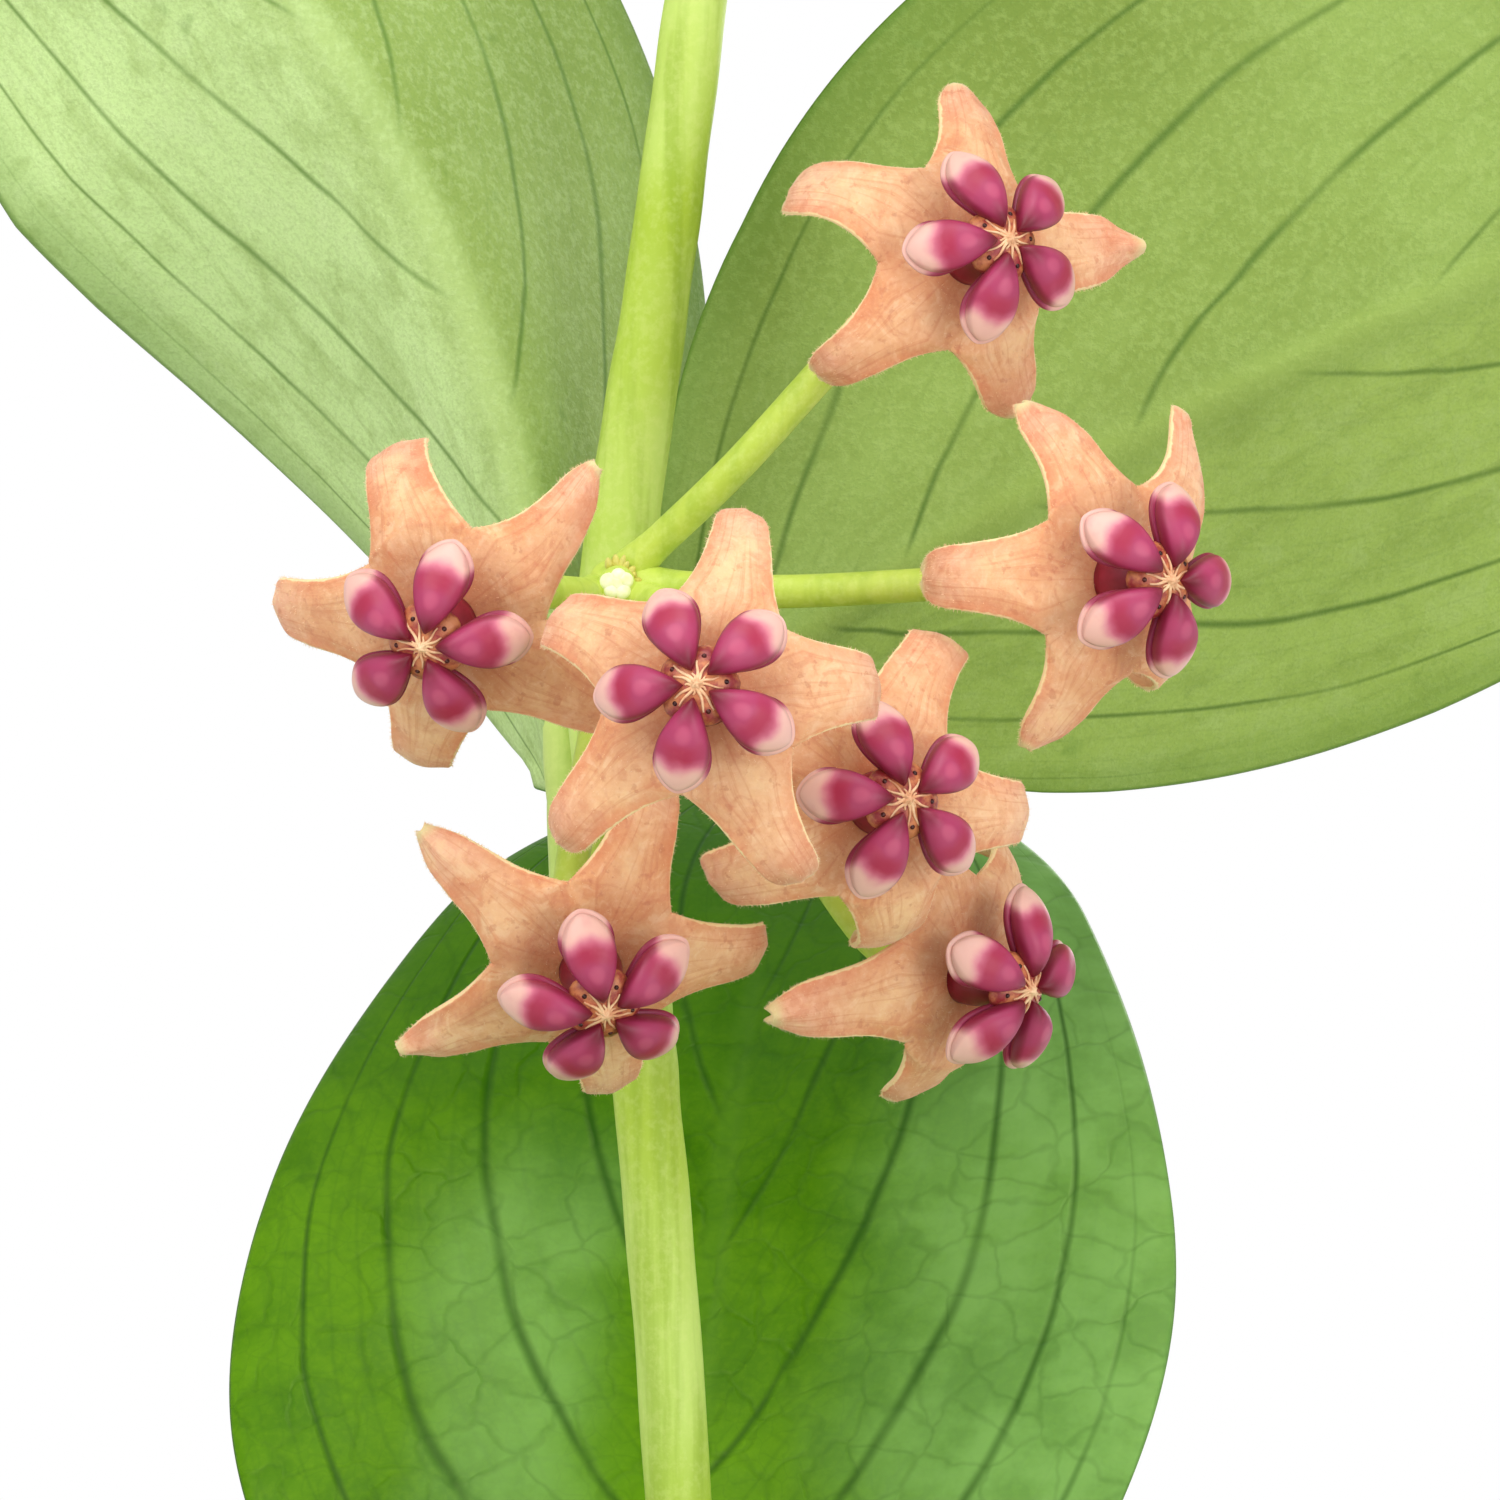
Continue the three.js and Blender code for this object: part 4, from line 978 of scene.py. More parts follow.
def make_petal_material():
    """Apricot velvet: deeper orange near the middle as painted shade under the corona, pinker
    on the lobes, cream along edges and tips, with faint lengthwise veins and blotches. The
    map's x runs across, y outwards."""
    material, n, shader = new_material("petal_velvet")
    x, y, _ = n.split(n.map("whole"))
    away = n.math("ABSOLUTE", n.minus(n.times(x, 2.0), 1.0))
    place = n.place()
    tone = n.noise(place, 190, 4.0, 0.6)
    blotch = n.noise(place, 420, 5.0, 0.65)
    fuzz = n.noise(place, 5200, 2.0, 0.7)
    freckle = n.noise(place, 1500, 3.0, 0.6)
    fray = n.noise(place, 2600, 2.0, 0.5)
    lines = n.noise(n.stretch(n.map("whole"), (16, 1.6, 1)), 1.0, 3.0, 0.6)
    wash = n.noise(place, 850, 5.0, 0.62, 1.2)
    lobe = n.between(y, 0.5, 0.72)
    cream = n.times(n.between(y, 0.3, 0.46), n.fall(y, 0.52, 0.76))
    cream = n.times(cream, n.fall(away, 0.1, 0.75))
    beyond = n.between(y, 0.46, 0.52)
    ragged = n.plus(away, n.times(n.minus(fray, 0.5), 0.12))
    blush = n.times(n.between(ragged, 0.55, 0.9), beyond)
    tip = n.between(n.plus(y, n.times(away, 0.05)), 0.86, 0.98)
    edge = n.times(n.between(ragged, 0.93, 0.97), beyond)
    base = n.coats(
        n.mix(n.between(tone, 0.38, 0.62), srgb(228, 160, 112), srgb(236, 180, 136)),
        (lobe, 0.5, srgb(238, 180, 154)),
        (cream, 0.6, srgb(243, 198, 150)),
        (n.between(wash, 0.51, 0.64), 0.44, srgb(216, 138, 102)),
        (n.fall(wash, 0.36, 0.48), 0.46, srgb(247, 209, 166)),
        (n.between(blotch, 0.49, 0.62), n.plus(0.34, n.times(lobe, 0.14)), srgb(218, 138, 96)),
        (n.fall(blotch, 0.35, 0.47), 0.45, srgb(250, 210, 158)),
        (n.between(lines, 0.52, 0.64), 0.36, srgb(212, 122, 82)),
        (n.between(freckle, 0.6, 0.68), 0.4, srgb(202, 116, 82)),
        # painted shade: deeper orange under the corona
        (n.fall(y, 0.1, 0.36), 0.6, srgb(220, 128, 82)),
        (blush, 0.36, srgb(224, 134, 90)),
        (tip, 0.75, srgb(230, 218, 160)),
        (edge, 0.85, srgb(250, 222, 168)),
        (n.between(fuzz, 0.45, 0.75), 0.12, srgb(255, 222, 190)),
    )
    n.fill(shader, {
        "Base Color": base,
        "Roughness": 0.72,
        "Specular IOR Level": 0.25,
        "Subsurface Weight": 0.25,
        "Subsurface Radius": (1.0, 0.4, 0.18),
        "Subsurface Scale": 0.0007,
        "Sheen Weight": 0.15,
        "Sheen Roughness": 0.5,
        "Sheen Tint": (1.0, 0.9, 0.8, 1),
        "Normal": n.bump(n.weighted((fuzz, 0.5), (lines, 0.35)), 0.12),
    })
    return material


def make_corona_material():
    """Glossy crimson lobe, pale at its outer end. The map's x runs from the lobe's middle
    line (0) to its side (1) and on underneath, y outwards."""
    material, n, shader = new_material("corona_gloss")
    x, y, _ = n.split(n.map("whole"))
    soft = n.noise(n.place(), 700, 3.0, 0.55)
    middle = n.fall(x, 0.2, 0.9)
    run = n.plus(y, n.times(n.minus(soft, 0.5), 0.12))
    run = n.plus(run, n.times(n.minus(1.0, middle), 0.09))
    # painted highlight: a soft pale pink spot in the middle of each lobe
    spot = n.plus(n.math("POWER", n.math("DIVIDE", n.minus(y, 0.44), 0.13), 2.0),
                  n.math("POWER", n.math("DIVIDE", x, 0.42), 2.0))
    pale = n.between(run, 0.76, 0.9)
    # dark sides and underside: partly the lobe's own dark outline and groove, partly painted shade
    rim = n.times(n.between(x, 0.84, 1.0), n.minus(1.0, n.times(pale, 0.7)))
    base = n.coats(
        n.mix(n.between(run, 0.06, 0.4), srgb(112, 8, 34), srgb(172, 56, 96)),
        (n.between(run, 0.5, 0.64), n.plus(0.3, n.times(middle, 0.5)), srgb(170, 34, 66)),
        # painted highlight
        (n.fall(spot, 0.0, 1.0), 0.45, srgb(208, 98, 128)),
        (n.between(run, 0.69, 0.83), 1.0, srgb(214, 112, 138)),
        (pale, 1.0, srgb(238, 186, 172)),
        # partly the lobe's dark outline, partly painted shade on its sides and underside
        (rim, 0.8, srgb(130, 22, 50)),
        (n.between(soft, 0.55, 0.7), 0.16, srgb(200, 86, 112)),
    )
    n.fill(shader, {
        "Base Color": base,
        "Roughness": 0.46,
        "Specular IOR Level": 0.4,
        "Coat Weight": 0.08,
        "Coat Roughness": 0.3,
        "Subsurface Weight": 0.08,
        "Subsurface Radius": (1.0, 0.35, 0.3),
        "Subsurface Scale": 0.0008,
        "Normal": n.bump(soft, 0.06),
    })
    return material


def make_plain_waxy(name, first, second, roughness, scale=500.0):
    """A small waxy part: two tones that mingle, with a slight grain."""
    material, n, shader = new_material(name)
    tone = n.noise(n.place(), scale, 4.0, 0.6)
    n.fill(shader, {
        "Base Color": n.mix(n.between(tone, 0.35, 0.65), first, second),
        "Roughness": roughness,
        "Normal": n.bump(tone, 0.08),
    })
    return material


PETAL = make_petal_material()
CORONA = make_corona_material()
STAR_CREAM = make_plain_waxy("star_cream", srgb(248, 208, 162), srgb(226, 160, 116), 0.5, 1300.0)
CORONA_DARK = make_plain_waxy("corona_dark", srgb(120, 14, 36), srgb(146, 26, 52), 0.4)
PETAL_HAIR = make_plain_waxy("petal_hair", srgb(252, 222, 184), srgb(248, 208, 164), 0.8)
COLUMN_TAN = make_plain_waxy("column_tan", srgb(216, 136, 86), srgb(158, 44, 50), 0.4, 1500.0)
DOT_BROWN = make_plain_waxy("dot_brown", srgb(84, 26, 18), srgb(54, 14, 12), 0.3)
print("flower materials ready")

# %% [markdown]
# ## Flowers
# Each flower is made flat, facing +Z, and then turned to where it looks. A corolla is
# five wedges that share the disc and part beyond it, where each lobe narrows, droops and
# hooks back. It is thickened to both sides, and the two faces meet in a round edge.

# %% The flowers' sizes and places
# place, the way it faces and its roll. Then for each lobe: spread, how far it is held out
# (0 hooked back, 1 held out, below 0 folded under); reach, its share of the usual length;
# taper, how much it narrows towards its tip; lean, the tip's way sideways in millimetres
FLOWERS = [
    dict(at=(14.3, -15.5, 245.6), right=27, up=7, roll=77,
         spread=[1, -0.25, -0.25, 1, 1.5], reach=[0.8, 0.9, 0.9, 0.6, 1],
         taper=[-0.1, 0, 0.4, -0.2, -0.4], lean=[0.3, 1, 0, 1.2, 0.3]),
    dict(at=(21.2, -18.7, 230.1), right=35, up=-2, roll=180,
         spread=[-0.6, 1, -1, 1, 1], reach=[1, 0.68, 1, 0.86, 0.76],
         taper=[0, 0.2, 0, -0.4, 0], lean=[0, 0, 0, 2.8, 1.1]),
    dict(at=(2, -34, 224.5), right=-5, up=6, roll=77, root=(0.9, -0.7, -1.7), bow=-1.6,
         spread=[0.3, -0.3, 0.5, 0.3, -0.8], reach=[1, 1, 1, 1, 1],
         taper=[0.3, 0.1, 0.2, 0.2, 0], lean=[0.9, 0.9, 0, 0.5, 0]),
    dict(at=(-10, -24.5, 228), right=-15, up=-17, roll=180, root=(-1, -0.8, 0.1), bow=-3.2,
         spread=[0.55, -0.2, 0.5, 0.8, -0.4], reach=[1, 1, 1, 0.88, 1],
         taper=[0, 0.1, 0, 0.45, -0.15], lean=[0, -0.9, 0, 1.1, 0.9]),
    dict(at=(-3.6, -20.8, 211.9), right=14, up=-30, roll=0,
         spread=[0.4, 0.3, 0.9, 1.1, 0.4], reach=[1, 1, 1, 1, 1],
         taper=[0.15, 0, 0.3, 0.25, 0.2], lean=[-0.6, 0, 0, 0.5, 0]),
    dict(at=(9.8, -22.9, 219.5), right=20, up=3, roll=-4,
         spread=[0.3, 0.1, 0.3, -0.7, -1], reach=[1, 1.1, 1, 1, 0.85],
         taper=[0, -0.15, 0, 0, 0], lean=[0.5, -1.6, 0, -1.4, 0]),
    dict(at=(14.1, -14.5, 211.4), right=49, up=-11, roll=193,
         spread=[1.1, 1, 0.2, -0.5, 0.2], reach=[1.08, 0.38, 1, 1, 1],
         taper=[0, 0, 0, 0, 0], lean=[0, 0.9, 0, 0, 0]),
]
DISC_RADIUS = 4.6
# radius, height over the disc and half width along a lobe, from the disc's edge to its tip
HOOKED_LOBE = np.array([
    (4.6, -0.3, 2.7), (6.05, -0.8, 1.9), (7.4, -1.5, 1.58), (8.25, -2.4, 1.5),
    (8.5, -3.3, 1.32), (8.45, -4.1, 0.95), (8.3, -4.7, 0.35),
])
HELD_LOBE = np.array([
    (4.6, -0.3, 2.7), (6.2, -0.85, 1.9), (7.6, -1.35, 1.6), (8.7, -1.8, 1.35),
    (9.4, -2.2, 0.95), (9.9, -2.5, 0.6), (10.2, -2.75, 0.25),
])
FOLDED_LOBE = np.array([
    (4.6, -0.3, 2.7), (5.7, -1.0, 2.0), (6.5, -2.1, 1.65), (6.8, -3.2, 1.45),
    (6.75, -4.2, 1.15), (6.55, -5.0, 0.75), (6.3, -5.6, 0.3),
])

# %% Into the plant's frame


def flower_turn(flower):
    """Rows are the flower's own axes: level, upwards and the way it faces, after its roll."""
    r, u, w = (math.radians(flower[key]) for key in ("right", "up", "roll"))
    facing = np.array([math.sin(r) * math.cos(u), -math.cos(r) * math.cos(u), math.sin(u)])
    level = unit(np.cross([0, 0, 1], facing))
    rise = np.cross(facing, level)
    first = math.cos(w) * level + math.sin(w) * rise
    second = -math.sin(w) * level + math.cos(w) * rise
    return np.array([first, second, facing])


def to_plant(points, flower):
    """From the flower's own frame into the plant's."""
    return np.asarray(points) @ flower_turn(flower) + np.array(flower["at"])


# %% [markdown]
# ### Corolla
# No two petals of a living flower are alike. Moving each by hand would take long, so every
# lobe's line is a blend of three drawn ones: hooked back, held out and folded under. Its
# blend, reach, taper and lean are in the table above.

# %% A lobe's middle surface
LOBE_START = 0.45  # share of a wedge's length that lies inside the disc
LOBE_REACH = 4.4  # about how far a lobe goes beyond the disc


def lobe_profile(flower, lobe, t):
    """Radius, height and half width at t: a smooth curve through a blend of two of the
    rows of points above, made longer or shorter and narrowed towards the tip."""
    spread = flower["spread"][lobe]
    end = HELD_LOBE if spread > 0 else FOLDED_LOBE
    points = HOOKED_LOBE + (end - HOOKED_LOBE) * abs(spread)
    points[:, 0] = DISC_RADIUS + (points[:, 0] - DISC_RADIUS) * flower["reach"][lobe]
    narrowing = 1 - flower["taper"][lobe] * np.linspace(0, 1, len(points))
    points[:, 2] = np.maximum(0.25, points[:, 2] * narrowing)
    return catmull_rom(points, np.clip((t - LOBE_START) / (1 - LOBE_START), 0, 1))


def lobe_surface(lobe, flower, rng, t, u):
    """Middle surface of one wedge. Inside the disc, rows are arcs of a fifth of a turn;
    beyond it they straighten and narrow along the lobe's profile. The lobe's sides roll
    down as u^2, with a shallow trough between them and a slight ripple."""
    droop, length, bend = rng.uniform(-1, 1, 3)
    outer_radius, outer_height, outer_half = lobe_profile(flower, lobe, t).T[..., None]
    t = t[:, None]
    inner = np.clip(t / LOBE_START, 0, 1)
    beyond = t > LOBE_START
    radius = np.where(beyond, outer_radius, DISC_RADIUS * inner)
    far = np.clip((radius - DISC_RADIUS) / LOBE_REACH, 0, 1)
    radius = radius + np.where(beyond, 0.2 * length * smoothstep(LOBE_START, 0.75, t), 0)
    height = np.where(beyond, outer_height, HOOKED_LOBE[0][1] * inner**4)
    height = height + 0.3 * droop * far**2

    fifth = math.pi / 5 * u
    arc_share = 1 - smoothstep(LOBE_START, 0.62, t)
    straighter = radius - DISC_RADIUS * (1 - np.cos(fifth)) * arc_share
    forward = np.where(beyond, straighter, radius * np.cos(fifth))
    chord = np.sin(fifth) / math.sin(math.pi / 5)
    narrower = outer_half * (chord * arc_share + u * (1 - arc_share))
    side = np.where(beyond, narrower, radius * np.sin(fifth))
    side = side + (0.25 * bend + flower["lean"][lobe]) * far**2

    roll = 0.4 * smoothstep(0.5, 0.8, t) * u**2
    trough = 0.16 * smoothstep(0.35, 0.7, t) * (1 - u**2) * (1 - smoothstep(0.75, 1, t))
    ripple = 0.07 * np.sin(9 * t + 2.6 * u + 3 * bend) * far
    return turned(forward, side, height - roll - trough + ripple, 2 * math.pi * lobe / 5)


# %% A wedge and its thickness
PETAL_THICKNESS = 0.8
MARGIN_ROUNDING = 0.16
MARGIN_TAPER = 1.3  # distance from the margin over which a petal reaches its thickness


def wedge(lobe, flower, rng):
    """Middle surface, its normal and its half thickness on one wedge's grid. Towards the
    nearest edge the thickness falls first slowly and then as a quarter circle."""
    close_rows = [0.4505, 0.455, 0.465, 0.985, 0.995]
    t = np.sort(np.concatenate([np.linspace(0, 1, 64), close_rows]))
    close = np.array([0.975, 0.993, 1])
    u = np.concatenate([-close[::-1], np.linspace(-0.93, 0.93, 25), close])
    middle = lobe_surface(lobe, flower, rng, t, u)
    level = (1 - smoothstep(0.02, 0.12, t))[:, None, None]
    normal = unit(normals(middle) * (1 - level) + np.array([0, 0, 1.0]) * level)
    inside_disc = t < LOBE_START
    half = lobe_profile(flower, lobe, t)[:, 2]
    width = np.where(inside_disc, half[0] * np.clip(t / LOBE_START, 0.05, 1), half)[:, None]
    from_edge = (1 - np.abs(u)) * width
    to_notch = np.where(inside_disc, (LOBE_START - t) * DISC_RADIUS / LOBE_START, 0)[:, None]
    from_tip = (1 - t)[:, None] * 8
    inside = np.minimum(np.sqrt(from_edge**2 + to_notch**2), from_tip)
    share = np.clip(inside / MARGIN_ROUNDING, 0, 1)
    taper = 0.4 + 0.6 * smoothstep(0, MARGIN_TAPER, inside)
    return t, u, middle, normal, 0.5 * PETAL_THICKNESS * taper * np.sqrt(share * (2 - share))


# %% [markdown]
# ### Velvet
# Short hairs on the petals catch the light along their edges. A hair system would be lost
# when the model is exported, so each hair is a tiny closed spike of its own.

# %% Corolla and its hairs
FACE_HAIRS, EDGE_HAIRS = 160, 240  # on each lobe's face and along its margin
HAIR_LENGTH = (0.06, 0.19)
HAIR_RADIUS = 0.013


def corolla_parts(flower, number):
    """Both faces of the five wedges, and the roots and tips of the short hairs on them.
    A hair stands along the normal on the face, and outwards at the margin."""
    rng = np.random.default_rng(100 + number)
    parts, roots, tips = [], [], []
    for lobe in range(5):
        t, u, middle, normal, thick = wedge(lobe, flower, rng)
        whole = map_of((u + 1) / 2, t[:, None])
        fine = map_of(u * 2.5, t[:, None] * 12)
        for side in (1, -1):
            points = middle + side * normal * thick[..., None]
            parts.append(grid_part(to_plant(points, flower), whole, fine))
        face = rng.integers([3, 1], [len(t) - 2, len(u) - 1], (FACE_HAIRS, 2))
        first = np.argmax(t > LOBE_START)
        edge = rng.integers([first, 0], [len(t) - 1, 2], (EDGE_HAIRS, 2))
        edge[:, 1] *= len(u) - 1
        for places, spill in ((face, 0.0), (edge, 1.0)):
            i, j = places.T
            near = rng.uniform(-0.5, 0.5, (len(i), 1)) * (middle[i, j] - middle[i - 1, j])
            root = middle[i, j] + normal[i, j] * thick[i, j][:, None] + near
            outwards = unit(middle[i, j] - middle[i, len(u) // 2] + 1e-6)
            stray = rng.normal(0, 0.35, (len(i), 3))
            aim = unit(normal[i, j] * (1 - 0.5 * spill) + outwards * spill + stray)
            length = rng.uniform(*HAIR_LENGTH, (len(i), 1))
            roots.append(to_plant(root, flower))
            tips.append(to_plant(root + aim * length, flower))
    return parts, np.concatenate(roots), np.concatenate(tips)


def make_hairs(name, roots, tips, material):
    """Each hair is a slim three-sided spike on a closed base."""
    run = unit(tips - roots)
    side = unit(np.cross(run, np.array([0.3, 0.5, 0.8])))
    other = np.cross(run, side)
    thirds = [2 * math.pi * k / 3 for k in range(3)]
    corners = [roots + HAIR_RADIUS * (math.cos(a) * side + math.sin(a) * other) for a in thirds]
    points = np.stack([*corners, tips], 1).reshape(-1, 3) * MM
    first = 4 * np.arange(len(roots))[:, None, None]
    spike = np.array([[0, 1, 3], [1, 2, 3], [2, 0, 3], [2, 1, 0]])
    mesh = bpy.data.meshes.new(name)
    mesh.from_pydata(points.tolist(), [], (first + spike).reshape(-1, 3).tolist())
    mesh.materials.append(material)
    place_piece(name, mesh, ())


# %% [markdown]
# ### Corona
# The corona's five lobes are plump, round outside and pointed inwards. Each is a row of
# rings whose width and height swell and close again. A stretched ball would be as pointed
# at one end as at the other.

# %% Corona


def plump_lobe(lobe, inner, outer, half_width, thick, keel, height, slope):
    """One lobe as rings along its own axis, from r = inner to outer. Its half width is the
    sine of y^1.45 half turns to the power 0.58: a taper inwards and a round outer end.
    Above its middle line it is rounded; below, it is a keel that is deeper inwards."""
    y = 0.5 - 0.5 * np.cos(np.linspace(0, np.pi, 32))
    reach = inner + (outer - inner) * y
    half = half_width * np.sin(np.pi * y**1.45).clip(0) ** 0.58
    tall = thick * np.sin(np.pi * y**0.95).clip(0) ** 0.55
    deep = keel * np.sin(np.pi * y**0.8).clip(0) ** 0.5
    half[0] = half[-1] = tall[0] = tall[-1] = deep[0] = deep[-1] = 0
    y, reach, half, tall, deep = (v[:, None] for v in (y, reach, half, tall, deep))
    a = np.linspace(0, 2 * np.pi, 32, endpoint=False)
    high, across = np.sin(a), np.abs(np.cos(a))
    section = np.where(high > 0, tall * np.abs(high) ** 0.92, deep * high)
    up = height - slope * y**1.3 + section
    points = turned(reach, half * np.cos(a), up, math.pi * (2 * lobe + 1) / 5)
    return points, map_of(np.where(high >= 0, across, 2 - across), y)


def dome_points(radius, height, base, rows=10, sides=40, star=0.0):
    """A closed dome on a flat base: a quarter of an ellipse carried round. Its plan may
    swell by the share star into five rays."""
    lift = np.linspace(0, 1, rows) * np.pi / 2
    ring = np.concatenate([[0], np.cos(lift)])[:, None]
    up = np.concatenate([[0], np.sin(lift)])[:, None]
    a = np.linspace(0, 2 * np.pi, sides, endpoint=False)
    return rings(radius * ring * (1 + star * np.cos(5 * a)), a, base + height * up)


CAP_RADIUS, CAP_HEIGHT, CAP_BASE = 1.75, 1.0, 3.35


def cap_height(r):
    """Height of the column's cap at radius r: a quarter of an ellipse."""
    share = np.clip(1 - (np.asarray(r) / CAP_RADIUS) ** 2, 0, 1)
    return CAP_BASE + CAP_HEIGHT * np.sqrt(share)


def corona_parts(flower):
    """Five plump lobes, each on a slightly longer and thinner lip, round a short column."""
    parts = []
    for lobe in range(5):
        top = plump_lobe(lobe, 0.62, 4.75, 1.26, 1.0, 0.75, 4.25, 1.45)
        lip = plump_lobe(lobe, 0.9, 4.85, 1.34, 0.3, 0.5, 3.4, 0.85)
        for points, whole in (top, lip):
            parts.append(grid_part(to_plant(points, flower), whole, whole * 4, wrap=True))
    cap = dome_points(CAP_RADIUS, CAP_HEIGHT, CAP_BASE, star=0.08)
    neck = dome_points(1.5, 3.0, 0.4)
    for points, slot in ((cap, 1), (neck, 2)):
        rows, sides = points.shape[:2]
        whole = map_of(np.linspace(0, 1, sides), np.linspace(0, 1, rows)[:, None])
        parts.append(grid_part(to_plant(points, flower), whole, whole, slot, wrap=True))
    return parts


# %% Star on the column
GLAND_RADIUS = 1.3  # from the middle to the dark glands


def star_parts(flower, number):
    """The cream star on the column: a low cone, five pairs of thin ridges that part as
    they run out between the lobes, five short rays, and a dark gland in each pair."""
    cone = dome_points(0.3, 0.5, 4.2, sides=50, star=0.2)
    parts = [closed_part(to_plant(cone, flower))]
    rng = np.random.default_rng(300 + number)
    t = np.linspace(0, 1, 12)
    for ray in range(15):
        short = ray % 3 == 2
        turn = 2 * math.pi * (ray // 3) / 5 + (math.pi / 5 if short else 0) + rng.normal(0, 0.05)
        reach = 0.12 + (0.4 if short else rng.uniform(0.85, 1.25)) * t
        sway = (-1, 1, 0)[ray % 3] * (0.04 + 0.22 * t**1.3)
        sway = sway + 0.04 * np.sin(6 * t + rng.uniform(0, 6))
        path = turned(reach, sway, cap_height(reach) + 0.08 * (1 - t) + 0.01, turn)
        radius = rng.uniform(0.07, 0.1) * (1 - 0.5 * t)
        parts.append(tube_part(to_plant(path, flower), radius, 8))
    for gland in range(5):
        dot = dome_points(0.13, 0.12, 0, rows=5, sides=12)
        dot = dot + turned(GLAND_RADIUS, 0, cap_height(GLAND_RADIUS), 2 * math.pi * gland / 5)
        parts.append(closed_part(to_plant(dot, flower), 1))
    return parts


# %% Make the flowers
for number, flower in enumerate(FLOWERS, 1):
    petals, roots, tips = corolla_parts(flower, number)
    make_piece(f"corolla_{number}_petals", petals, [PETAL], [f"corolla_{number}"])
    make_hairs(f"corolla_{number}_hairs", roots, tips, PETAL_HAIR)
    looks = [CORONA, COLUMN_TAN, CORONA_DARK]
    make_piece(f"corona_{number}_lobes", corona_parts(flower), looks, [f"corona_{number}"])
    looks = [STAR_CREAM, DOT_BROWN]
    make_piece(f"anther_star_{number}", star_parts(flower, number), looks, ())
print(len(FLOWERS), "flowers made")

# %% [markdown]
# ## The umbel's stalk
# The stalk leaves the joint at the front of the vine and ends in a knob, where the seven
# pedicels spring from between small bracts. Each pedicel bows up a little before it
# reaches the back of its flower, where it flares into the calyx.

# %% Stalk, knob and pedicels
PEDUNCLE = [(-2.2, -1.2, 212.6), (-2.7, -3.1, 213.4), (-3.2, -5.2, 218), (-2.9, -7.6, 223.6),
            (-2.6, -8.6, 228.6)]
PEDUNCLE_RADIUS = 1.3
KNOB_PLACE = np.array([-2.6, -8.8, 229.4])
KNOB_RADIUS = 1.9
KNOB_HEIGHT = 2.3
PEDICEL_RADIUS = 0.82
PEDICEL_LENGTH = 25


def pedicel_path(flower, count=40):
    """From the knob, bowed up a little, to the middle of the flower's back."""
    facing = flower_turn(flower)[2]
    at = np.array(flower["at"])
    way = at - facing * 0.8 - KNOB_PLACE
    span = np.linalg.norm(way)
    outwards = way / span
    first = KNOB_PLACE + outwards * 0.4 * KNOB_RADIUS + [0, 0, 0.3 * KNOB_HEIGHT]
    if "root" in flower:
        first = KNOB_PLACE + np.array(flower["root"])
    lift = max(0, PEDICEL_LENGTH - span) * 0.45 + flower.get("bow", 0)
    bow = KNOB_PLACE + outwards * 0.34 * span + [0, 0, lift]
    points = [first, bow, at - facing * 5, at - facing * 0.35]
    return catmull_rom(points, np.linspace(0, 1, count))


def stalk_parts():
    """The peduncle, seven pedicels that flare at both ends, and the knob: an ellipsoid
    with five low lumps round it."""
    t = np.linspace(0, 1, 60)
    radius = PEDUNCLE_RADIUS * (1 + 0.12 * (1 - t))
    parts = [tube_part(catmull_rom(PEDUNCLE, t), radius)]
    s = np.linspace(0, 1, 40)
    flare = 1 + 0.25 * (1 - smoothstep(0, 0.12, s)) + 0.7 * smoothstep(0.93, 1, s)
    for flower in FLOWERS:
        parts.append(tube_part(pedicel_path(flower), PEDICEL_RADIUS * flare, 18, wobble=0.01))
    a = np.linspace(0, 2 * np.pi, 36, endpoint=False)
    b = np.linspace(-np.pi / 2, np.pi / 2, 20)[:, None]
    lumps = 1 + 0.07 * np.sin(5 * a) * np.cos(3 * b)
    across, high = KNOB_RADIUS * 0.8 * lumps * np.cos(b), KNOB_HEIGHT * 0.85 * np.sin(b)
    parts.append(closed_part(rings(across, a, high) + KNOB_PLACE))
    return parts


# the scar of a flower that has dropped: its place and the way it faces
SCAR = dict(at=(-2.44, -10.9, 230.05), right=3, up=10, roll=20)
LONG_SCALES = (8, 9)


def knob_parts():
    """The scar's green stub with cream beads on it, and small ochre scales round its top."""
    rng = np.random.default_rng(21)
    t = np.linspace(0, 1, 9)
    stub = np.array(SCAR["at"]) - flower_turn(SCAR)[2] * 1.6 * (1 - t)[:, None]
    parts = [tube_part(stub, 1.0 - 0.14 * t**6, wobble=0.03)]
    for bead in range(6):
        reach, turn = 0.42 * (bead > 0), 2 * math.pi * bead / 5 + rng.normal(0, 0.12)
        dome = dome_points(rng.uniform(0.38, 0.46), 0.22, -0.06, rows=7, sides=16)
        parts.append(closed_part(to_plant(dome + turned(reach, 0, 0, turn), SCAR), 1))
    for scale in range(11):
        turn = math.radians(-30 + 11 * scale + rng.normal(0, 9))
        length = rng.uniform(0.2, 0.45) + (0.35 if scale in LONG_SCALES else 0)
        path = turned(rng.uniform(0.75, 0.95) + length * t, 0, 0.3 * t - 0.6, turn)
        radius = rng.uniform(0.16, 0.24) * np.sin(np.pi * (0.2 + 0.74 * t)) ** 0.7
        path = path + rng.normal(0, 0.1, 3) * t[:, None]
        parts.append(tube_part(to_plant(path, SCAR), radius, 10, 2))
    return parts


SCALE_OCHRE = make_plain_waxy("scale_ochre", srgb(224, 216, 120), srgb(198, 186, 60), 0.5, 900.0)
SCAR_CREAM = make_plain_waxy("scar_cream", srgb(254, 254, 226), srgb(236, 242, 170), 0.35, 900.0)
make_piece("umbel_stalk_skin", stalk_parts(), [STALK_SKIN], ["umbel_stalk"])
looks = [STALK_SKIN, SCAR_CREAM, SCALE_OCHRE]
make_piece("knob_scales", knob_parts(), looks, ())
print("stalk made")

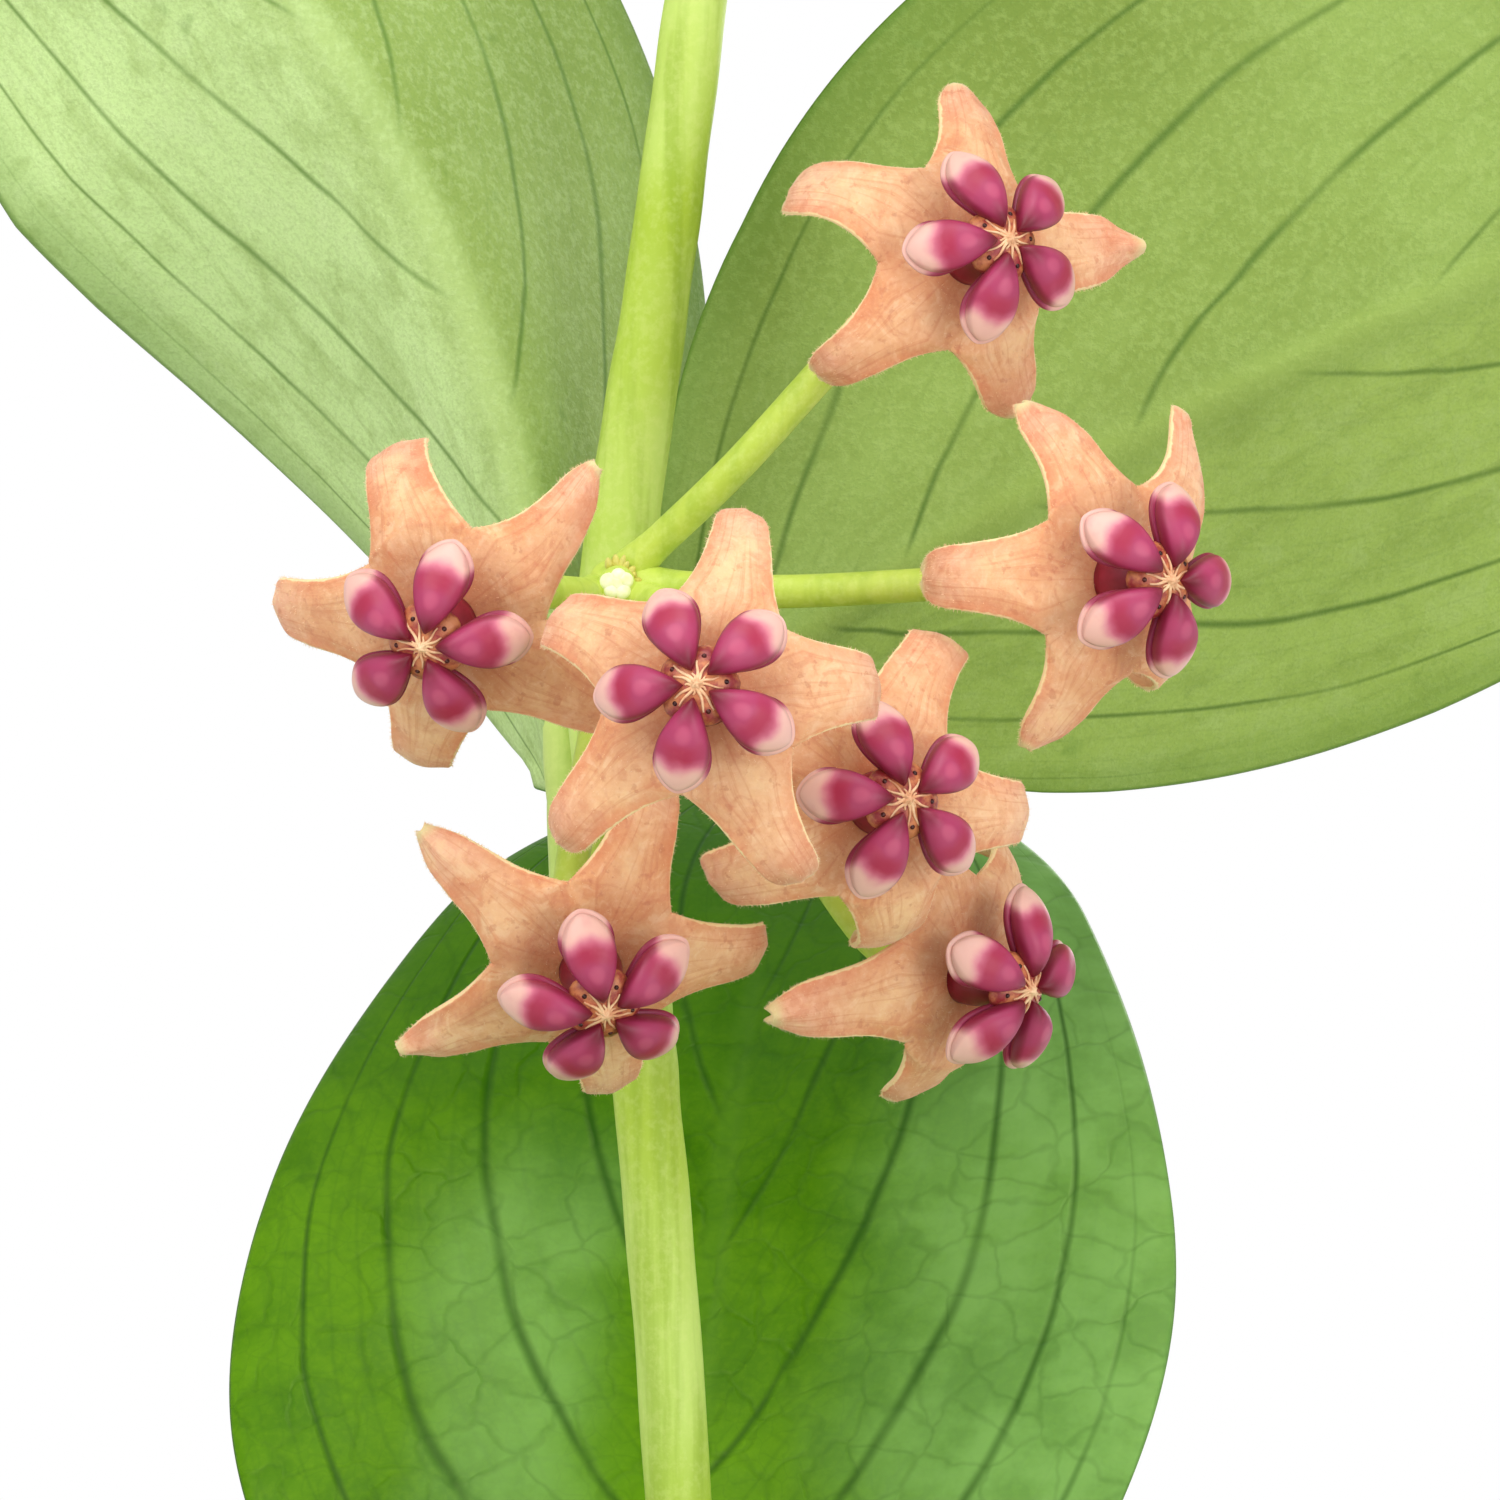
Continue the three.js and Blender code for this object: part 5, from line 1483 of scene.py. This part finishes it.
# %% [markdown]
# ## Pot and soil
# The clay pot is a turned profile with softly rounded edges, three drain holes and the
# chalky bloom that clay gets from water. The soil is an uneven surface of bark and peat,
# with loose chips and white grains of perlite on it.

# %% Pot and soil materials


def make_clay_material():
    """Fired clay: warm orange-brown with slow clouds, fine grit and a pale bloom that
    gathers towards the foot and the rim."""
    material, n, shader = new_material("fired_clay")
    place = n.place()
    clouds = n.noise(place, 28, 4.0, 0.6)
    grit = n.noise(place, 900, 3.0, 0.7)
    turning = n.noise(n.stretch(place, (0.15, 0.15, 5)), 130, 2.0, 0.5)
    _, _, z = n.split(place)
    foot_and_rim = n.math("MAXIMUM", n.fall(z, 0.0, 0.03), n.between(z, 0.06, 0.09))
    bloom_and_painted_sheen = n.times(foot_and_rim, n.between(n.noise(place, 60, 5.0, 0.7), 0.42, 0.72))
    base = n.coats(
        n.mix(n.between(clouds, 0.3, 0.7), srgb(178, 98, 66), srgb(202, 122, 86)),
        (n.between(grit, 0.5, 0.75), 0.35, srgb(150, 76, 52)),
        (bloom_and_painted_sheen, 0.45, srgb(226, 206, 190)),
    )
    n.fill(shader, {
        "Base Color": base,
        "Roughness": 0.86,
        "Specular IOR Level": 0.25,
        "Normal": n.bump(n.weighted((grit, 0.5), (turning, 0.8)), 0.25),
    })
    return material


def make_crumb_material(name, dark, light, roughness=0.95, scale=420.0):
    """Crumbly matter: dark and light crumbs with deep grain."""
    material, n, shader = new_material(name)
    crumbs = n.noise(n.place(), scale, 6.0, 0.7)
    large = n.noise(n.place(), scale * 0.2, 3.0, 0.5)
    base = n.mix(n.between(crumbs, 0.35, 0.7), dark, light)
    n.fill(shader, {
        "Base Color": n.coats(base, (large, 0.4, dark)),
        "Roughness": roughness,
        "Normal": n.bump(crumbs, 0.5, 0.8),
    })
    return material


CLAY = make_clay_material()
PEAT = make_crumb_material("peat", srgb(34, 23, 16), srgb(78, 56, 38))
BARK = make_crumb_material("bark", srgb(66, 40, 24), srgb(132, 88, 56), 0.85, 700.0)
PERLITE = make_crumb_material("perlite", srgb(206, 202, 194), srgb(240, 238, 232), 0.8, 900.0)

# %% The pot
POT_HEIGHT, POT_FLOOR, POT_COLLAR, POT_WALL = 92, 5, 22, 4
BASE_RADIUS, SHOULDER_RADIUS, RIM_RADIUS = 38, 50.5, 55
DRAIN_RADIUS, DRAIN_CIRCLE = 4.5, 18


def inner_radius(z):
    """Radius inside the pot at height z: the outer cone less the wall, straight to the top."""
    slope = (SHOULDER_RADIUS - BASE_RADIUS) / (POT_HEIGHT - POT_COLLAR)
    return BASE_RADIUS - POT_WALL + slope * z


def rounded_profile(corners, steps=7):
    """A profile whose corners, given with a radius each, are cut by smooth bends: each
    bend is a quadratic curve from one side of the corner to the other."""
    points = []
    for i, (r, z, bend) in enumerate(corners):
        here = np.array([r, z], float)
        if bend == 0:
            points.append(here[None])
            continue
        before = unit(np.array(corners[i - 1][:2], float) - here) * bend + here
        after = unit(np.array(corners[i + 1][:2], float) - here) * bend + here
        s = np.linspace(0, 1, steps)[:, None]
        points.append((1 - s) ** 2 * before + 2 * s * (1 - s) * here + s**2 * after)
    return np.concatenate(points)


def lathe_part(profile, sides=160):
    """A profile of radii and heights carried round the z axis."""
    a = np.linspace(0, 2 * np.pi, sides, endpoint=False)
    r, z = profile.T[..., None]
    flat = map_of(a / (2 * np.pi), np.linspace(0, 1, len(r))[:, None])
    return grid_part(rings(r, a, z), flat, flat * 30, wrap=True)


def make_pot():
    """The turned pot, with three drain holes cut through its floor."""
    shoulder = POT_HEIGHT - POT_COLLAR
    corners = [  # radius, height and how far the corner is rounded
        (0, 0, 0), (BASE_RADIUS, 0, 1.4), (SHOULDER_RADIUS, shoulder, 0.8),
        (RIM_RADIUS - 1.0, shoulder, 1.0), (RIM_RADIUS, POT_HEIGHT, 2.4),
        (inner_radius(POT_HEIGHT), POT_HEIGHT, 1.6), (inner_radius(POT_FLOOR), POT_FLOOR, 2.0),
        (0, POT_FLOOR, 0),
    ]
    wall = lathe_part(rounded_profile(corners))
    pot = make_piece("clay_pot", [wall], [CLAY], ["pot"])
    cutters = []
    for i in range(3):
        a = 2 * math.pi * (i + 0.5) / 3
        bpy.ops.mesh.primitive_cylinder_add(
            vertices=40, radius=DRAIN_RADIUS * MM, depth=4 * POT_FLOOR * MM,
            location=(DRAIN_CIRCLE * MM * math.cos(a), DRAIN_CIRCLE * MM * math.sin(a), 0))
        cutter = bpy.context.object
        hole = pot.modifiers.new("drain", "BOOLEAN")
        hole.object = cutter
        hole.operation = "DIFFERENCE"
        cutters.append(cutter)
    cut = pot.evaluated_get(bpy.context.evaluated_depsgraph_get())
    shape = bpy.data.meshes.new_from_object(cut)
    pot.modifiers.clear()
    pot.data = shape
    for cutter in cutters:
        bpy.data.objects.remove(cutter)
    return pot


pot = make_pot()
print("pot faces", len(pot.data.polygons))

# %% [markdown]
# ### Soil
# Fresh mix is dark and crumbly. Its mounds and crumbs are crossing waves in the surface
# itself, and the coarser bark and perlite lie on it as loose chips of only a few faces.

# %% Soil
SOIL_TOP, SOIL_BUMP = 82, 1.6


def soil_height(x, y):
    """The soil's surface: low mounds from a few crossing waves."""
    waves = np.sin(0.21 * x + 0.6) * np.cos(0.19 * y) + 0.5 * np.sin(0.33 * y - 0.27 * x)
    return SOIL_TOP + SOIL_BUMP * waves


def crumbs(x, y, rng):
    """Fine unevenness: many crossing waves of random direction and phase."""
    total = np.zeros_like(x)
    for size, strength in ((0.9, 0.35), (1.7, 0.25), (3.1, 0.16)):
        for _ in range(7):
            direction, phase = rng.uniform(0, np.pi), rng.uniform(0, 6.28)
            across = x * math.cos(direction) + y * math.sin(direction)
            total += strength * np.sin(size * across + phase)
    return 0.45 * total


def make_soil():
    """The uneven surface, from the middle out to the pot's wall, closed underneath."""
    edge = inner_radius(SOIL_TOP) - 0.4
    r = np.concatenate([np.linspace(0, 1, 100) ** 0.8 * edge, [edge, edge - 6, 0]])[:, None]
    a = np.linspace(0, 2 * np.pi, 300, endpoint=False)
    x, y = r * np.cos(a), r * np.sin(a)
    fine = crumbs(x, y, np.random.default_rng(5))
    z = soil_height(x, y) + fine * smoothstep(0, 3, edge - r)
    z[-3:] = np.array([SOIL_TOP - 3, SOIL_TOP - 40, SOIL_TOP - 40])[:, None]
    flat = map_of(x, y)
    soil = grid_part(np.stack([x, y, z], -1), flat, flat, wrap=True)
    make_piece("potting_mix", [soil], [PEAT], ["soil"])


# %% Bark and perlite
STEM_ROOM = 3.5  # no chip lies closer to a stem


def chip_points(rng, size, thin):
    """A rough chip: a ball of a few faces with uneven corners, flattened."""
    b = np.linspace(-np.pi / 2, np.pi / 2, 5)[:, None]
    a = np.linspace(0, 2 * np.pi, 7, endpoint=False)
    rough = 1 + rng.uniform(-0.28, 0.28, (5, 7))
    rough[0], rough[-1] = 1, 1
    ball = rings(np.cos(b) * rough, a, np.sin(b) * thin) * size
    ball[..., 1] *= rng.uniform(0.55, 0.9)
    turn, tilt = rng.uniform(0, 2 * np.pi), rng.uniform(-0.5, 0.5)
    c, s, ct, st = math.cos(turn), math.sin(turn), math.cos(tilt), math.sin(tilt)
    spin = np.array([[c, s * ct, s * st], [-s, c * ct, c * st], [0, -st, ct]])
    return ball @ spin


def scatter(name, count, sizes, thin, material, seed):
    """Chips at random places on the soil, evenly over its area, clear of the stems."""
    rng = np.random.default_rng(seed)
    stems = np.array([points[0][0][:2] for points in VINES.values()], float)
    parts = []
    while len(parts) < count:
        radius = (inner_radius(SOIL_TOP) - 4) * math.sqrt(rng.uniform())
        angle = rng.uniform(0, 2 * np.pi)
        at = np.array([radius * math.cos(angle), radius * math.sin(angle)])
        size = rng.uniform(*sizes)
        if np.linalg.norm(stems - at, axis=1).min() < STEM_ROOM + size:
            continue
        z = soil_height(at[0], at[1]) + size * thin * 0.5
        parts.append(closed_part(chip_points(rng, size, thin) + np.array([*at, z])))
    piece = make_piece(name, parts, [material], ())
    piece.data.polygons.foreach_set("use_smooth", np.zeros(len(piece.data.polygons), bool))


make_soil()
scatter("bark_chips", 170, (1.5, 4.2), 0.4, BARK, 11)
scatter("perlite_grains", 90, (0.7, 1.6), 0.8, PERLITE, 12)
print("soil made")

# %% [markdown]
# ## Floor
# A pale round floor under the pot. It ends before it would show in the close view. Towards
# its rim it glows a little to the camera, so that it runs out into the white of the room.

# %% Floor
FLOOR_RADIUS = 1.3  # metres
FLOOR_GLOW = (0.3, 0.3, 0.29, 1)


def make_floor():
    """A disc whose glow, seen by the camera only, grows with the distance from its middle."""
    bpy.ops.mesh.primitive_circle_add(vertices=180, radius=FLOOR_RADIUS, fill_type="NGON")
    floor = bpy.context.object
    floor.name = "pale_floor"
    material, n, shader = new_material("pale_floor")
    tone = n.noise(n.place(), 3, 2.0, 0.5)
    away = n.add("ShaderNodeVectorMath", operation="LENGTH")
    n.put(n.place(), away.inputs[0])
    seen = n.add("ShaderNodeLightPath").outputs["Is Camera Ray"]
    glow = n.times(n.between(away.outputs["Value"], 0.15, 1.0), seen)
    n.fill(shader, {
        "Base Color": n.mix(n.between(tone, 0.3, 0.7), srgb(236, 236, 234), srgb(242, 242, 241)),
        "Roughness": 0.7,
        "Emission Color": n.mix(glow, (0, 0, 0, 1), FLOOR_GLOW),
        "Emission Strength": 1.0,
    })
    floor.data.materials.append(material)


make_floor()
